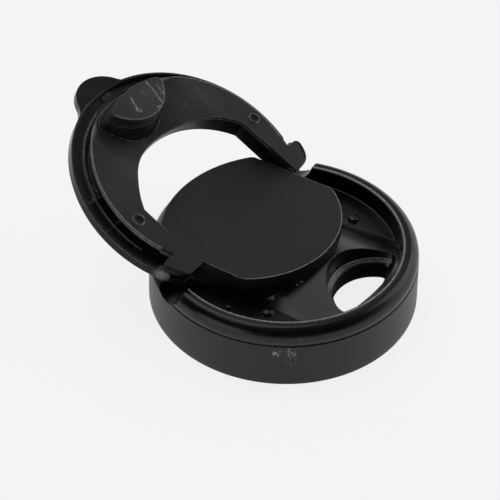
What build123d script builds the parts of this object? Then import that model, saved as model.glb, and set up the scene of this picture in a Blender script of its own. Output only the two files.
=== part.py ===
"""Flip-top pour lid for a wide-mouthed carafe.

A round moulded cap carries a raised centre cover. A C-shaped ring hinges on the two flat
sides of that cover, and a rubber-faced plug under the ring closes the pour hole.
All sizes are in millimetres. The origin is the centre of the cap's lower face, +Z is up,
the pour hole is towards -Y and the hinge axis runs along X. The ring is drawn in its own
frame, which turns about the hinge, and stands open.
"""
import os
from math import cos, hypot, radians, sin

from build123d import *

# Cap body: skirt, rounded band and rim
shoulder_radius = 50.0
shoulder_height = 18.2
skirt_flare = 1.0
skirt_wall = 2.1
skirt_step = 0.9
skirt_step_height = 9.2
seam_width = 0.5
seam_depth = 0.5
band_inset = 3.6
band_bulge = 1.3
rim_width = 2.2
rim_rise = 7.1
rim_chamfer = 0.7
rim_draft = 0.5
deck_drop = 1.2
deck_wall = 2.2
core_inset = 2.4
core_width = 1.6
core_depth = 5.0
core_end = 6.0

# Centre cover
cover_half_width = 30.6
cover_bow = 5.6
cover_front_centre = 17.5
cover_inset = 0.8
cover_rise = 3.6
cover_wall = 2.0
cover_edge_round = 0.4
cover_corner_round = 1.5
seat_gap = 0.1

# Pour mound and pour hole
mound_rise = 7.0
mound_half_width = 30.0
mound_shoulder = 0.586
mound_back = 5.0
pour_inset = 2.8
hole_radius = 16.4
hole_inset = 4.0
seat_width = 2.0
seat_rise = 1.5
seat_drop = 1.0
chute_flare = 1.2
chute_wall = 1.6
tube_length = 6.6
hole_corner_round = 2.2

# Gasket and the wall that holds it
gasket_width = 4.4
gasket_thickness = 2.2
gasket_gap = 0.1
gasket_inset = 3.3
gasket_wall = 1.6
gasket_wall_height = 3.2

# Hinge
hinge_y = 21.7
hinge_rise = 1.0
open_angle = 152.0
pin_radius = 1.75
pin_clearance = 0.06
pin_reach = 3.0
bearing_radius = 3.6
bearing_depth = 1.6
scoop_gap = 0.47

# Flip ring
ring_rise = 0.3
flange_reach = 0.9
flange_thickness = 3.0
ring_roof = 2.0
ring_side_gap = 1.3
ring_front_gap = 0.75
ring_wall = 1.6
block_gap = 1.7
block_clearance = 1.9
plate_thickness = 1.8
plate_rise = 5.9
plate_half_width = 27.5
plate_shoulder = 0.6
plate_crest_gap = 0.2
plate_lap = 0.8
ear_end = 5.1
web_radius = 48.6
web_forward = 2.9
web_thickness = 1.7
web_round = 2.0
knob_radius = 3.1
knob_forward = 2.7
knob_drop = 0.3
knob_wall = 2.2
knob_stand = 0.4
lip_width = 0.8
lip_depth = 0.5
rib_gap = 0.5
rib_width = 0.8
rib_depth = 0.7
rib_end = 8.0
gusset_width = 0.9
gusset_drop = 3.0
gusset_angles = (6.5, 22.0)
tab_radius = 12.6
tab_inset = 4.6
tab_blend = 9.0
tab_lift = 3.0
lift_start = 24.0
lift_angle = 10.0
nib_width = 4.5
nib_depth = 0.7
nib_thickness = 1.6
nib_offset = -2.7

# Plug and its rubber face
plug_flare = 1.6
plug_wall = 2.0
plug_floor = 1.8
seal_gap = 0.5
seal_front_gap = 1.1
seal_wall = 1.6
seal_drop = 3.0
seal_rise = 1.6
seal_lip = 1.1
seal_lip_thickness = 0.9
seal_round = 0.6

# Small marks on the deck, and the bosses that meet them
stake_radius = 2.3
stake_height = 1.0
stake_dome_radius = 1.4
stake_dome_height = 0.5
stake_x = 30.6
stake_y = -12.4
snap_radius = 1.1
snap_height = 1.6
snap_dome = 0.6
snap_x = 37.1
snap_y = -0.3
pad_radius = 2.3
pad_height = 0.5
pad_dimple = 1.85
pad_dimple_depth = 0.7
pad_shift = 0.6

# Small extra length for joining, and a length past every piece
overlap = 0.6
far = 60.0

# Radii that follow from the shoulder
foot_radius = shoulder_radius + skirt_flare
skirt_inner_radius = foot_radius - skirt_wall
rim_outer_radius = shoulder_radius - band_inset
rim_inner_radius = rim_outer_radius - rim_width
deck_radius = rim_inner_radius - rim_chamfer - rim_draft
core_outer_radius = shoulder_radius - core_inset
core_inner_radius = core_outer_radius - core_width
cover_back_radius = rim_outer_radius - cover_inset
cover_front_radius = cover_half_width + cover_bow
pour_centre = deck_radius - pour_inset
hole_front_radius = deck_radius - hole_inset
gasket_outer_radius = skirt_inner_radius - gasket_inset
gasket_inner_radius = gasket_outer_radius - gasket_width
flange_radius = rim_outer_radius + flange_reach
block_radius = deck_radius - block_gap
rib_radius = deck_radius - rib_gap
tab_centre = flange_radius - tab_inset
nib_radius = flange_radius + nib_offset
ring_half_width = cover_half_width + ring_side_gap
ring_front_radius = cover_front_radius + ring_front_gap
plug_foot_radius = hole_radius + plug_flare
plug_foot_front = hole_front_radius + plug_flare
seal_radius = hole_radius - seal_gap
seal_front_radius = hole_front_radius - seal_front_gap

# Heights that follow from the shoulder
deck_height = shoulder_height - deck_drop
deck_under = deck_height - deck_wall
rim_height = deck_height + rim_rise
cover_top = rim_height + cover_rise
hinge_height = rim_height + hinge_rise
seat_height = deck_height - seat_drop
chute_top = rim_height + overlap
chute_bottom = seat_height - tube_length
ring_top = cover_top + ring_rise
roof_height = ring_top - ring_roof
flange_bottom = ring_top - flange_thickness
block_bottom = deck_height + block_clearance
plate_top = block_bottom + plate_thickness
plate_crest = roof_height - plate_top - plate_crest_gap
seal_bottom = seat_height - seal_drop
seal_top = seat_height + seal_rise
scoop_radius = hypot(ear_end, hinge_height - block_bottom) + scoop_gap
ring_back = hinge_y - scoop_radius

ring_frame = Plane(
    origin=(0, hinge_y, hinge_height),
    x_dir=(1, 0, 0),
    z_dir=(0, sin(radians(open_angle)), cos(radians(open_angle))),
)
ring_up = Axis(ring_frame.origin, ring_frame.z_dir)
ring_along = Axis(ring_frame.origin, ring_frame.y_dir)


def ring_level(height):
    """Plane across the ring, centred on the lid's axis, at a height with the ring closed."""
    middle = ring_frame.from_local_coords(Vector(0, -hinge_y, height - hinge_height))
    return Plane(origin=middle, x_dir=ring_frame.x_dir, z_dir=ring_frame.z_dir)


def ring_section(y):
    """Plane of the closed ring's cross-section at y along the lid, facing the pour side."""
    middle = ring_frame.from_local_coords(Vector(0, y - hinge_y, -hinge_height))
    return Plane(origin=middle, x_dir=ring_frame.x_dir, z_dir=ring_frame.y_dir * -1)


def ring_side(x):
    """Plane across the hinge axis at a distance x from the lid's middle."""
    middle = ring_frame.from_local_coords(Vector(x, 0, 0))
    return Plane(origin=middle, x_dir=ring_frame.y_dir, z_dir=ring_frame.x_dir)


def cover_outline(side_gap, front_gap, back_gap):
    """Outline of the centre cover, grown by the three gaps."""
    Circle(cover_back_radius + back_gap)
    Rectangle(2 * (cover_half_width + side_gap), 2 * far, mode=Mode.INTERSECT)
    with Locations((0, cover_front_centre)):
        Circle(cover_front_radius + front_gap, mode=Mode.INTERSECT)


def lens_outline(radius, front_radius, corner):
    """Outline of the pour hole or plug: a circle cut off by the rim's own curve."""
    with Locations((0, -pour_centre)):
        Circle(radius)
    Circle(front_radius, mode=Mode.INTERSECT)
    if corner > 0:
        fillet(vertices(), radius=corner)


def arch_face(half_width, shoulder, foot, rise, base):
    """Profile under a bell-shaped line across the lid, down to a straight base."""
    with BuildLine() as profile:
        Spline(
            (-half_width, foot),
            (-half_width / 2, foot + rise * shoulder),
            (0, foot + rise),
            (half_width / 2, foot + rise * shoulder),
            (half_width, foot),
            tangents=((1, 0), (1, 0)),
        )
        Polyline(
            (half_width, foot),
            (half_width + overlap, foot),
            (half_width + overlap, base),
            (-half_width - overlap, base),
            (-half_width - overlap, foot),
            (-half_width, foot),
        )
    make_face(profile.edges())


# Space under the pour mound, kept clear of the wall round the pour hole
with BuildPart() as mound_hollow:
    with BuildSketch(Plane.XZ.offset(mound_back + deck_wall)):
        arch_face(mound_half_width, mound_shoulder, deck_under, mound_rise, deck_under - overlap)
    extrude(amount=far)
    with BuildSketch(Plane.XY.offset(deck_under - overlap)):
        Circle(gasket_inner_radius - gasket_wall - deck_wall)
    extrude(amount=far, mode=Mode.INTERSECT)
    with BuildSketch(Plane.XY.offset(deck_under - overlap)):
        with Locations((0, -pour_centre)):
            Circle(hole_radius + seat_width + chute_flare + chute_wall)
    extrude(amount=far, mode=Mode.SUBTRACT)

# Cap body
with BuildPart() as lid_body:
    with BuildSketch(Plane.XZ):
        with BuildLine():
            Polyline(
                (shoulder_radius - seam_depth / 2, shoulder_height),
                (shoulder_radius - seam_depth, shoulder_height),
                (shoulder_radius - seam_depth, shoulder_height - seam_width),
                (shoulder_radius, shoulder_height - seam_width),
                (foot_radius, 0),
                (skirt_inner_radius, 0),
                (skirt_inner_radius, skirt_step_height),
                (skirt_inner_radius - skirt_step, skirt_step_height),
                (skirt_inner_radius - skirt_step, deck_under),
                (0, deck_under),
                (0, deck_height),
                (deck_radius, deck_height),
                (rim_inner_radius - rim_chamfer, rim_height - rim_chamfer / 2),
                (rim_inner_radius, rim_height),
                (rim_outer_radius, rim_height),
            )
            SagittaArc(
                (rim_outer_radius, rim_height),
                (shoulder_radius - seam_depth / 2, shoulder_height),
                band_bulge,
            )
        make_face()
    revolve(axis=Axis.Z)
    # raised mound that the pour hole passes through
    with BuildSketch(Plane.XZ.offset(mound_back)):
        arch_face(mound_half_width, mound_shoulder, deck_height, mound_rise, deck_height - overlap)
    mound_bar = extrude(amount=far, mode=Mode.PRIVATE)
    with BuildSketch(Plane.XY.offset(deck_height - overlap)):
        Circle(deck_radius + overlap / 2)
    mound_disc = extrude(amount=far, mode=Mode.PRIVATE)
    add(mound_bar & mound_disc)
    add(mound_hollow.part, mode=Mode.SUBTRACT)
    # tube that carries the pour hole down into the neck
    with BuildSketch(Plane.XY.offset(chute_bottom)):
        lens_outline(hole_radius + chute_wall, hole_front_radius + chute_wall, hole_corner_round)
    extrude(amount=seat_height - chute_bottom)
    with BuildSketch(Plane.XY.offset(chute_bottom)):
        lens_outline(hole_radius, hole_front_radius, hole_corner_round)
    extrude(amount=seat_height - chute_bottom, mode=Mode.SUBTRACT)
    # sloping seat for the plug and the flared wall above it
    with BuildSketch(Plane.XY.offset(seat_height)):
        lens_outline(hole_radius, hole_front_radius, hole_corner_round)
    with BuildSketch(Plane.XY.offset(seat_height + seat_rise)):
        lens_outline(hole_radius + seat_width, hole_front_radius + seat_width, hole_corner_round)
    loft(ruled=True, mode=Mode.SUBTRACT)
    with BuildSketch(Plane.XY.offset(seat_height + seat_rise)):
        lens_outline(hole_radius + seat_width, hole_front_radius + seat_width, hole_corner_round)
    with BuildSketch(Plane.XY.offset(chute_top)):
        flared = seat_width + chute_flare
        lens_outline(hole_radius + flared, hole_front_radius + flared, hole_corner_round)
    loft(ruled=True, mode=Mode.SUBTRACT)
    # cored-out channel inside the rim, on the pour side only
    with BuildSketch(Plane.XY.offset(deck_under)):
        Circle(core_outer_radius)
        Circle(core_inner_radius, mode=Mode.SUBTRACT)
        with Locations((0, core_end)):
            Rectangle(2 * far, 2 * far, align=(Align.CENTER, Align.MAX), mode=Mode.INTERSECT)
    extrude(amount=core_depth, mode=Mode.SUBTRACT)
    # wall that keeps the neck gasket in place
    with BuildSketch(Plane.XY.offset(deck_under - gasket_wall_height)):
        Circle(gasket_inner_radius)
        Circle(gasket_inner_radius - gasket_wall, mode=Mode.SUBTRACT)
    extrude(amount=gasket_wall_height)
    # pocket that the centre cover stands in
    with BuildSketch(Plane.XY.offset(deck_height)):
        cover_outline(overlap, seat_gap, seat_gap)
        Rectangle(2 * far, far, align=(Align.CENTER, Align.MIN), mode=Mode.INTERSECT)
    extrude(amount=far, mode=Mode.SUBTRACT)
    # scoops that the ears of the ring turn in, and the low wall behind them
    for side in (1, -1):
        with BuildSketch(Plane.YZ.offset(side * cover_half_width)):
            with Locations((hinge_y, hinge_height)):
                Circle(scoop_radius)
            with Locations((hinge_y, shoulder_height)):
                Rectangle(far, far, align=(Align.MIN, Align.MIN))
        extrude(amount=side * far, mode=Mode.SUBTRACT)
    # small round marks on the deck beside the mound
    with BuildSketch(Plane.XY.offset(deck_height - overlap)):
        with Locations((stake_x, stake_y), (-stake_x, stake_y)):
            Circle(stake_radius)
    extrude(amount=stake_height + overlap)
    with BuildSketch(Plane.XY.offset(deck_height)):
        with Locations((stake_x, stake_y), (-stake_x, stake_y)):
            Circle(stake_dome_radius)
    extrude(amount=stake_height + stake_dome_height, taper=8)
    with BuildSketch(Plane.XY.offset(deck_height - overlap)):
        with Locations((snap_x, snap_y), (-snap_x, snap_y)):
            Circle(snap_radius)
    snaps = extrude(amount=snap_height + snap_dome + overlap)
    fillet(snaps.faces().sort_by(Axis.Z)[-1].edges(), radius=snap_dome)
lid_body.part.label = "lid_body"

# Centre cover
with BuildPart() as centre_cover:
    with BuildSketch(Plane.XY.offset(deck_height + seat_gap)):
        cover_outline(0, 0, 0)
        fillet(vertices(), radius=cover_corner_round)
    extrude(amount=cover_top - deck_height - seat_gap)
    fillet(faces().sort_by(Axis.Z)[-1].edges(), radius=cover_edge_round)
    with BuildSketch(Plane.XY.offset(deck_height + seat_gap)):
        cover_outline(-cover_wall, -cover_wall, -cover_wall)
    extrude(amount=cover_top - deck_height - seat_gap - cover_wall, mode=Mode.SUBTRACT)
    # bearings for the ring's stubs, inside the two flat walls
    for side in (1, -1):
        with BuildSketch(Plane.YZ.offset(side * (cover_half_width - cover_wall / 2))):
            with Locations((hinge_y, hinge_height)):
                Circle(bearing_radius)
            with Locations((hinge_y, cover_top - cover_wall / 2)):
                Rectangle(2 * far, far, align=(Align.CENTER, Align.MIN), mode=Mode.SUBTRACT)
        extrude(amount=-side * (cover_wall / 2 + bearing_depth))
    with BuildSketch(Plane.YZ.offset(-cover_half_width)):
        with Locations((hinge_y, hinge_height)):
            Circle(pin_radius + pin_clearance)
    extrude(amount=2 * cover_half_width, mode=Mode.SUBTRACT)
    # lower edge follows the mound
    with BuildSketch(Plane.XZ.offset(mound_back - seat_gap)):
        arch_face(mound_half_width, mound_shoulder, deck_height + seat_gap, mound_rise, 0)
    extrude(amount=far, mode=Mode.SUBTRACT)
centre_cover.part.label = "centre_cover"

# Gasket under the deck
with BuildPart() as neck_gasket:
    with BuildSketch(Plane.XY.offset(deck_under)):
        Circle(gasket_outer_radius)
        Circle(gasket_inner_radius + gasket_gap, mode=Mode.SUBTRACT)
    extrude(amount=-gasket_thickness)
    fillet(neck_gasket.faces().sort_by(Axis.Z)[0].edges(), radius=0.6)
neck_gasket.part.label = "neck_gasket"


def ring_outline(radius, back):
    """Outline of the ring's round part, cut straight at a distance back from the middle."""
    Circle(radius)
    with Locations((0, back)):
        Rectangle(2 * far, 4 * far, align=(Align.CENTER, Align.MAX), mode=Mode.INTERSECT)


def ring_opening(gap):
    """Take away the space inside the ring, open at the hinge end, grown by a gap."""
    with BuildSketch(mode=Mode.PRIVATE) as mouth:
        with Locations((0, cover_front_centre)):
            Circle(ring_front_radius + gap)
            Rectangle(2 * far, far, align=(Align.CENTER, Align.MIN))
        Rectangle(2 * (ring_half_width + gap), 4 * far, mode=Mode.INTERSECT)
    add(mouth.sketch, mode=Mode.SUBTRACT)


# Upper shell of the ring
with BuildPart() as ring_cover:
    with BuildSketch(ring_level(block_bottom)):
        Circle(flange_radius)
        with Locations((0, -tab_centre)):
            Circle(tab_radius)
        with Locations((0, hinge_y + ear_end)):
            Rectangle(2 * far, 4 * far, align=(Align.CENTER, Align.MAX), mode=Mode.INTERSECT)
        ring_opening(0)
    tall = extrude(amount=ring_top + tab_lift + overlap - block_bottom)
    tab_corners = tall.edges().filter_by(ring_up).sort_by(ring_along)[:2]
    fillet(tab_corners, radius=tab_blend)
    # flat flange that sweeps up towards the thumb tab
    with BuildSketch(ring_side(-far)):
        with BuildLine() as sweep_line:
            Polyline(
                (far, flange_bottom - hinge_height),
                (far, ring_top - hinge_height),
                (-hinge_y - lift_start, ring_top - hinge_height),
            )
            Spline(
                (-hinge_y - lift_start, ring_top - hinge_height),
                (-hinge_y - tab_centre - tab_radius, ring_top + tab_lift - hinge_height),
                tangents=((-1, 0), (-cos(radians(lift_angle)), sin(radians(lift_angle)))),
            )
            Line(
                (-hinge_y - tab_centre - tab_radius, ring_top + tab_lift - hinge_height),
                (-hinge_y - tab_centre - tab_radius, flange_bottom + tab_lift - hinge_height),
            )
            Spline(
                (-hinge_y - tab_centre - tab_radius, flange_bottom + tab_lift - hinge_height),
                (-hinge_y - lift_start, flange_bottom - hinge_height),
                tangents=((cos(radians(lift_angle)), -sin(radians(lift_angle))), (1, 0)),
            )
            Line(
                (-hinge_y - lift_start, flange_bottom - hinge_height),
                (far, flange_bottom - hinge_height),
            )
        make_face()
    extrude(amount=2 * far, mode=Mode.INTERSECT)
    with BuildSketch(ring_level(plate_top)):
        ring_outline(block_radius - plate_lap, ring_back)
        ring_opening(0)
    extrude(amount=flange_bottom - plate_top + overlap)
    # hollow between the shell's walls
    with BuildSketch(ring_level(plate_top)):
        ring_outline(block_radius - plate_lap - ring_wall, ring_back)
        ring_opening(ring_wall)
    extrude(amount=roof_height - plate_top, mode=Mode.SUBTRACT)
    # ears that reach back to the hinge
    with BuildSketch(ring_level(block_bottom)):
        ring_outline(block_radius, hinge_y + ear_end)
        with Locations((0, ring_back)):
            Rectangle(2 * far, far, align=(Align.CENTER, Align.MIN), mode=Mode.INTERSECT)
        ring_opening(0)
    extrude(amount=flange_bottom - block_bottom + overlap)
    # thin webs that stand out from the ears to the band's face
    with BuildSketch(ring_level(block_bottom)) as web_sketch:
        ring_outline(web_radius, hinge_y + ear_end)
        with Locations((0, hinge_y - web_forward)):
            Rectangle(2 * far, far, align=(Align.CENTER, Align.MIN), mode=Mode.INTERSECT)
        ring_opening(0)
        rim_corners = [v for v in web_sketch.vertices() if hypot(v.X, v.Y) > web_radius - overlap]
        fillet(rim_corners, radius=web_round)
    extrude(amount=web_thickness)
    # round ends of the flange's outer wall
    with BuildSketch(ring_side(-far)):
        with Locations((-knob_forward, -knob_drop)):
            Circle(knob_radius)
    knob_bar = extrude(amount=2 * far, mode=Mode.PRIVATE)
    with BuildSketch(ring_level(flange_bottom - far)):
        Circle(flange_radius + knob_stand)
        Circle(flange_radius - knob_wall, mode=Mode.SUBTRACT)
    knob_hoop = extrude(amount=2 * far, mode=Mode.PRIVATE)
    add(knob_bar & knob_hoop)
    # room for the closing plate where it rises over the mound
    with BuildSketch(ring_section(ring_back)):
        arch_face(plate_half_width, plate_shoulder, plate_top, plate_crest, plate_top - far)
    extrude(amount=2 * far, mode=Mode.SUBTRACT)
    # stubs that turn in the cover's bearings
    for side in (1, -1):
        with BuildSketch(ring_side(side * (ring_half_width + overlap))):
            Circle(pin_radius)
        extrude(amount=-side * (pin_reach + overlap))
    # thin lip and rib on the underside of the flange, with gussets between
    with BuildSketch(ring_level(flange_bottom - lip_depth)):
        ring_outline(flange_radius, ring_back)
        Circle(flange_radius - lip_width, mode=Mode.SUBTRACT)
    extrude(amount=lip_depth + flange_thickness / 2)
    with BuildSketch(ring_level(flange_bottom - rib_depth)):
        ring_outline(rib_radius + rib_width / 2, rib_end)
        Circle(rib_radius - rib_width / 2, mode=Mode.SUBTRACT)
    extrude(amount=rib_depth + flange_thickness / 2)
    for reach, depth in ((rib_radius, gusset_drop), (flange_radius - lip_width, lip_depth)):
        with BuildSketch(ring_level(flange_bottom - depth)):
            for angle in gusset_angles:
                for turn in (-angle, angle - 180):
                    with Locations(Rot(0, 0, turn)):
                        with Locations((block_radius - plate_lap - overlap / 2, 0)):
                            length = reach - block_radius + plate_lap + overlap
                            Rectangle(length, gusset_width, align=(Align.MIN, Align.CENTER))
        extrude(amount=depth + flange_thickness / 2)
    # nib under the thumb tab that springs over the band
    with BuildSketch(ring_level(flange_bottom - nib_depth)):
        with Locations((0, -nib_radius)):
            Rectangle(nib_width, nib_thickness)
    extrude(amount=nib_depth + flange_thickness)
ring_cover.part.label = "ring_cover"

# Closing plate under the ring, with the plug's core
with BuildPart() as ring_plate:
    with BuildSketch(ring_level(block_bottom)):
        ring_outline(block_radius, ring_back - seat_gap)
        ring_opening(0)
    extrude(amount=plate_thickness)
    with BuildSketch(ring_level(plate_top - overlap)):
        ring_outline(block_radius, ring_back - seat_gap)
        ring_opening(0)
    plate_prism = extrude(amount=roof_height - plate_top, mode=Mode.PRIVATE)
    with BuildSketch(ring_section(hinge_y)):
        crest = plate_crest - seat_gap / 2
        arch_face(plate_half_width, plate_shoulder, plate_top, crest, plate_top - overlap)
    plate_bump = extrude(amount=2 * far, mode=Mode.PRIVATE)
    add(plate_prism & plate_bump)
    with BuildSketch(ring_section(hinge_y)):
        arch_face(plate_half_width, plate_shoulder, block_bottom, plate_rise, block_bottom - far)
    extrude(amount=2 * far, mode=Mode.SUBTRACT)
    # core of the plug, flared where it meets the plate
    with BuildSketch(ring_level(seal_bottom + seal_wall)):
        lens_outline(seal_radius - seal_wall, seal_front_radius - seal_wall, hole_corner_round)
    extrude(amount=seal_top - seal_bottom - seal_wall)
    with BuildSketch(ring_level(seal_top)):
        lens_outline(seal_radius + seal_lip, seal_front_radius + seal_lip, hole_corner_round)
    with BuildSketch(ring_level(roof_height)):
        lens_outline(plug_foot_radius, plug_foot_front, hole_corner_round)
    loft(ruled=True)
    with BuildSketch(ring_section(ring_back)):
        arch_face(plate_half_width, plate_shoulder, plate_top, crest, far)
    extrude(amount=2 * far, mode=Mode.SUBTRACT)
    with BuildSketch(ring_level(seal_bottom + seal_wall + plug_floor)):
        inset = seal_wall + plug_wall
        lens_outline(seal_radius - inset, seal_front_radius - inset, hole_corner_round)
    extrude(amount=far, mode=Mode.SUBTRACT)
    # bosses with a dimple for the two snaps on the deck
    with BuildSketch(ring_level(block_bottom)):
        with Locations((snap_x, snap_y + pad_shift), (-snap_x, snap_y + pad_shift)):
            Circle(pad_radius)
    extrude(amount=-pad_height)
    with BuildSketch(ring_level(block_bottom - pad_height)):
        with Locations((snap_x, snap_y + pad_shift), (-snap_x, snap_y + pad_shift)):
            Circle(pad_dimple)
    extrude(amount=pad_height + pad_dimple_depth, mode=Mode.SUBTRACT)
ring_plate.part.label = "ring_plate"

# Rubber face of the plug
with BuildPart() as plug_seal:
    with BuildSketch(ring_level(seal_bottom)):
        lens_outline(seal_radius, seal_front_radius, hole_corner_round)
    extrude(amount=seal_top - seal_bottom)
    fillet(plug_seal.faces().sort_by(ring_up)[0].edges(), radius=seal_round)
    with BuildSketch(ring_level(seal_top - seal_lip_thickness)):
        lens_outline(seal_radius + seal_lip, seal_front_radius + seal_lip, hole_corner_round)
    extrude(amount=seal_lip_thickness)
    with BuildSketch(ring_level(seal_bottom + seal_wall)):
        lens_outline(seal_radius - seal_wall, seal_front_radius - seal_wall, hole_corner_round)
    extrude(amount=seal_top - seal_bottom, mode=Mode.SUBTRACT)
plug_seal.part.label = "plug_seal"

os.makedirs("parts", exist_ok=True)
export_step(lid_body.part, "parts/lid_body.step")
export_step(centre_cover.part, "parts/centre_cover.step")
export_step(neck_gasket.part, "parts/neck_gasket.step")
export_step(ring_cover.part, "parts/ring_cover.step")
export_step(ring_plate.part, "parts/ring_plate.step")
export_step(plug_seal.part, "parts/plug_seal.step")
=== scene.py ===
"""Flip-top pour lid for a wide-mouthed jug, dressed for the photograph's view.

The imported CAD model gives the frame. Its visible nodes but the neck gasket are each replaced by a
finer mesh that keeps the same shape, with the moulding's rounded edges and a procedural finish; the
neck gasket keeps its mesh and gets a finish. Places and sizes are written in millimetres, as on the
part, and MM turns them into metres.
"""

import logging
import math
from collections.abc import Iterable, Sequence
from dataclasses import dataclass
from enum import Enum

import bmesh
import bpy
from mathutils import Matrix, Vector

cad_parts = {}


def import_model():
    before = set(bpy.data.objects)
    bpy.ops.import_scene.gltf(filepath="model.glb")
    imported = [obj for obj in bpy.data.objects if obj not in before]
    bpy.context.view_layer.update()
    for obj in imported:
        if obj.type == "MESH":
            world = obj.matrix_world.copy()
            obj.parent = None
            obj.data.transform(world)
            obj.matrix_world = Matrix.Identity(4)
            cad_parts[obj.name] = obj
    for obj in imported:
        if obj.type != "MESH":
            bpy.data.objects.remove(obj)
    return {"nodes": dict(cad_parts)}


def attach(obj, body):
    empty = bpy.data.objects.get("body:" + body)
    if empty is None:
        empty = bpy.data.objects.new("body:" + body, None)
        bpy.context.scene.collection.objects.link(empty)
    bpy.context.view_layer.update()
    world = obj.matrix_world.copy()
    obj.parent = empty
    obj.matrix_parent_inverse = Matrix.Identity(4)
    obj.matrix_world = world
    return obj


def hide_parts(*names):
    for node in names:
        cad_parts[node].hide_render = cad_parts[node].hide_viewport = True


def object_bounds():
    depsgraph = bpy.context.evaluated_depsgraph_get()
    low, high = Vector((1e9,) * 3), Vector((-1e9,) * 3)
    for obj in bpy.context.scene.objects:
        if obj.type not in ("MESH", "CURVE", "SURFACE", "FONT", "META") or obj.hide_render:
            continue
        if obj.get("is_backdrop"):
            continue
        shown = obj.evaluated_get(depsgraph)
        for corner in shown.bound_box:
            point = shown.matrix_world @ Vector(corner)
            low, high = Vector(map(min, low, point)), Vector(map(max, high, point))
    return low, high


logging.basicConfig(level=logging.INFO, format="%(message)s")
LOG = logging.getLogger("pour_lid")

MM = 0.001
FINE = 0.35
WIDE = 70.0
TALL = 60.0
SATIN_FROM = 47.9
SATIN_ROUGHNESS = 0.38
TUBE_SHINE = 0.04
DULL_SHINE = 0.16
# Pale grey painted into the colour: real scuffs and scratches, and also painted highlight lines on
# edges and painted sheen patches.
WEAR_AND_HIGHLIGHT = (0.62, 0.62, 0.60, 1.0)
REFLECTION = (0.93, 0.96, 1.0, 1.0)

Point = tuple[float, float]
Place = tuple[float, float, float]
Object = bpy.types.Object
Socket = bpy.types.NodeSocket


class Op(Enum):
    """How one solid is combined with another."""

    JOIN = "UNION"
    CUT = "DIFFERENCE"
    KEEP = "INTERSECT"


class Body(Enum):
    """The two bodies of the CAD model."""

    BASE = "base"
    RING = "ring"


class Slot(Enum):
    """Material slots of the record."""

    MOULDING = "black_moulding"
    COVER = "satin_cover"
    RING = "satin_ring"
    RUBBER = "seal_rubber"


@dataclass(frozen=True)
class LidSizes:
    """Driving sizes of the lid, in millimetres, as on the part."""

    shoulder_radius: float = 50.0
    shoulder_height: float = 18.2
    foot_radius: float = 51.0
    skirt_wall: float = 2.1
    skirt_step: float = 0.9
    skirt_step_height: float = 9.2
    seam: float = 0.5
    rim_outer: float = 46.4
    rim_inner: float = 44.2
    rim_height: float = 24.1
    rim_chamfer: float = 0.7
    band_bulge: float = 1.3
    deck_height: float = 17.0
    deck_wall: float = 2.2
    deck_radius: float = 43.0
    mound_rise: float = 7.0
    mound_half: float = 30.0
    mound_power: float = 0.77
    mound_back: float = 5.0
    cover_half: float = 30.6
    cover_front: float = 36.2
    cover_centre: float = 17.5
    cover_back: float = 45.6
    cover_top: float = 27.7
    cover_corner: float = 1.5
    pour_centre: float = 40.2
    hole_radius: float = 16.4
    hole_front: float = 39.0
    hole_corner: float = 2.4
    seat_height: float = 16.0
    seat_width: float = 2.0
    seat_rise: float = 1.5
    chute_flare: float = 1.2
    chute_wall: float = 1.6
    chute_bottom: float = 9.4
    gasket_wall_inner: float = 39.6
    gasket_wall_outer: float = 41.2
    gasket_wall_height: float = 3.2
    hinge_y: float = 21.7
    hinge_z: float = 25.1
    open_angle: float = 152.0
    pin_radius: float = 1.75
    bore_clearance: float = 0.06
    pocket_gap: float = 0.1
    mark_sink: float = 0.3
    scoop_radius: float = 8.5
    ring_top: float = 28.0
    flange_radius: float = 47.3
    flange_thickness: float = 3.0
    ring_side_gap: float = 1.3
    ring_front_gap: float = 0.75
    block_radius: float = 41.3
    block_bottom: float = 18.9
    plate_thickness: float = 1.8
    plate_rise: float = 5.9
    plate_half: float = 27.5
    plate_power: float = 0.74
    plate_lap: float = 0.8
    ear_end: float = 5.1
    web_radius: float = 48.6
    web_forward: float = 4.3
    web_thickness: float = 1.7
    web_round: float = 4.2
    knob_radius: float = 3.1
    knob_forward: float = 2.7
    knob_drop: float = 0.3
    knob_wall: float = 2.2
    knob_stand: float = 0.4
    tab_radius: float = 12.6
    tab_centre: float = 42.7
    tab_blend: float = 9.0
    tab_lift: float = 3.0
    lift_start: float = 24.0
    rib_radius: float = 42.5
    rib_width: float = 0.8
    rib_depth: float = 0.7
    gusset_width: float = 0.9
    gusset_drop: float = 3.0
    gusset_first: float = 6.5
    gusset_last: float = 22.0
    lip_width: float = 0.8
    lip_depth: float = 0.5
    seal_bottom: float = 13.0
    seal_top: float = 17.6
    seal_radius: float = 15.9
    seal_front: float = 37.9
    seal_lip: float = 0.45
    plug_foot: float = 18.0
    plug_foot_front: float = 40.6
    snap: Point = (37.1, -0.3)
    snap_radius: float = 1.1
    boss: Point = (30.6, -12.4)
    boss_radius: float = 2.3
    dimple: Point = (37.1, 0.3)
    dimple_radius: float = 1.85
    dimple_depth: float = 1.2
    nib_half: float = 2.25
    nib_inner: float = 43.8
    nib_outer: float = 45.4

    @property
    def hinge(self) -> Point:
        """The hinge's axis, as (y, z)."""
        return (self.hinge_y, self.hinge_z)

    @property
    def ring_half(self) -> float:
        """Half the width of the ring's inner opening."""
        return self.cover_half + self.ring_side_gap

    @property
    def ring_back(self) -> float:
        """Where the ring's block ends and its ears begin."""
        return self.hinge_y - self.scoop_radius

    @property
    def deck_under(self) -> float:
        """Height of the deck's lower face."""
        return self.deck_height - self.deck_wall

    @property
    def plate_top(self) -> float:
        """Height of the closing plate's upper face, with the ring closed."""
        return self.block_bottom + self.plate_thickness


SIZES = LidSizes()


# Outlines


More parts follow.
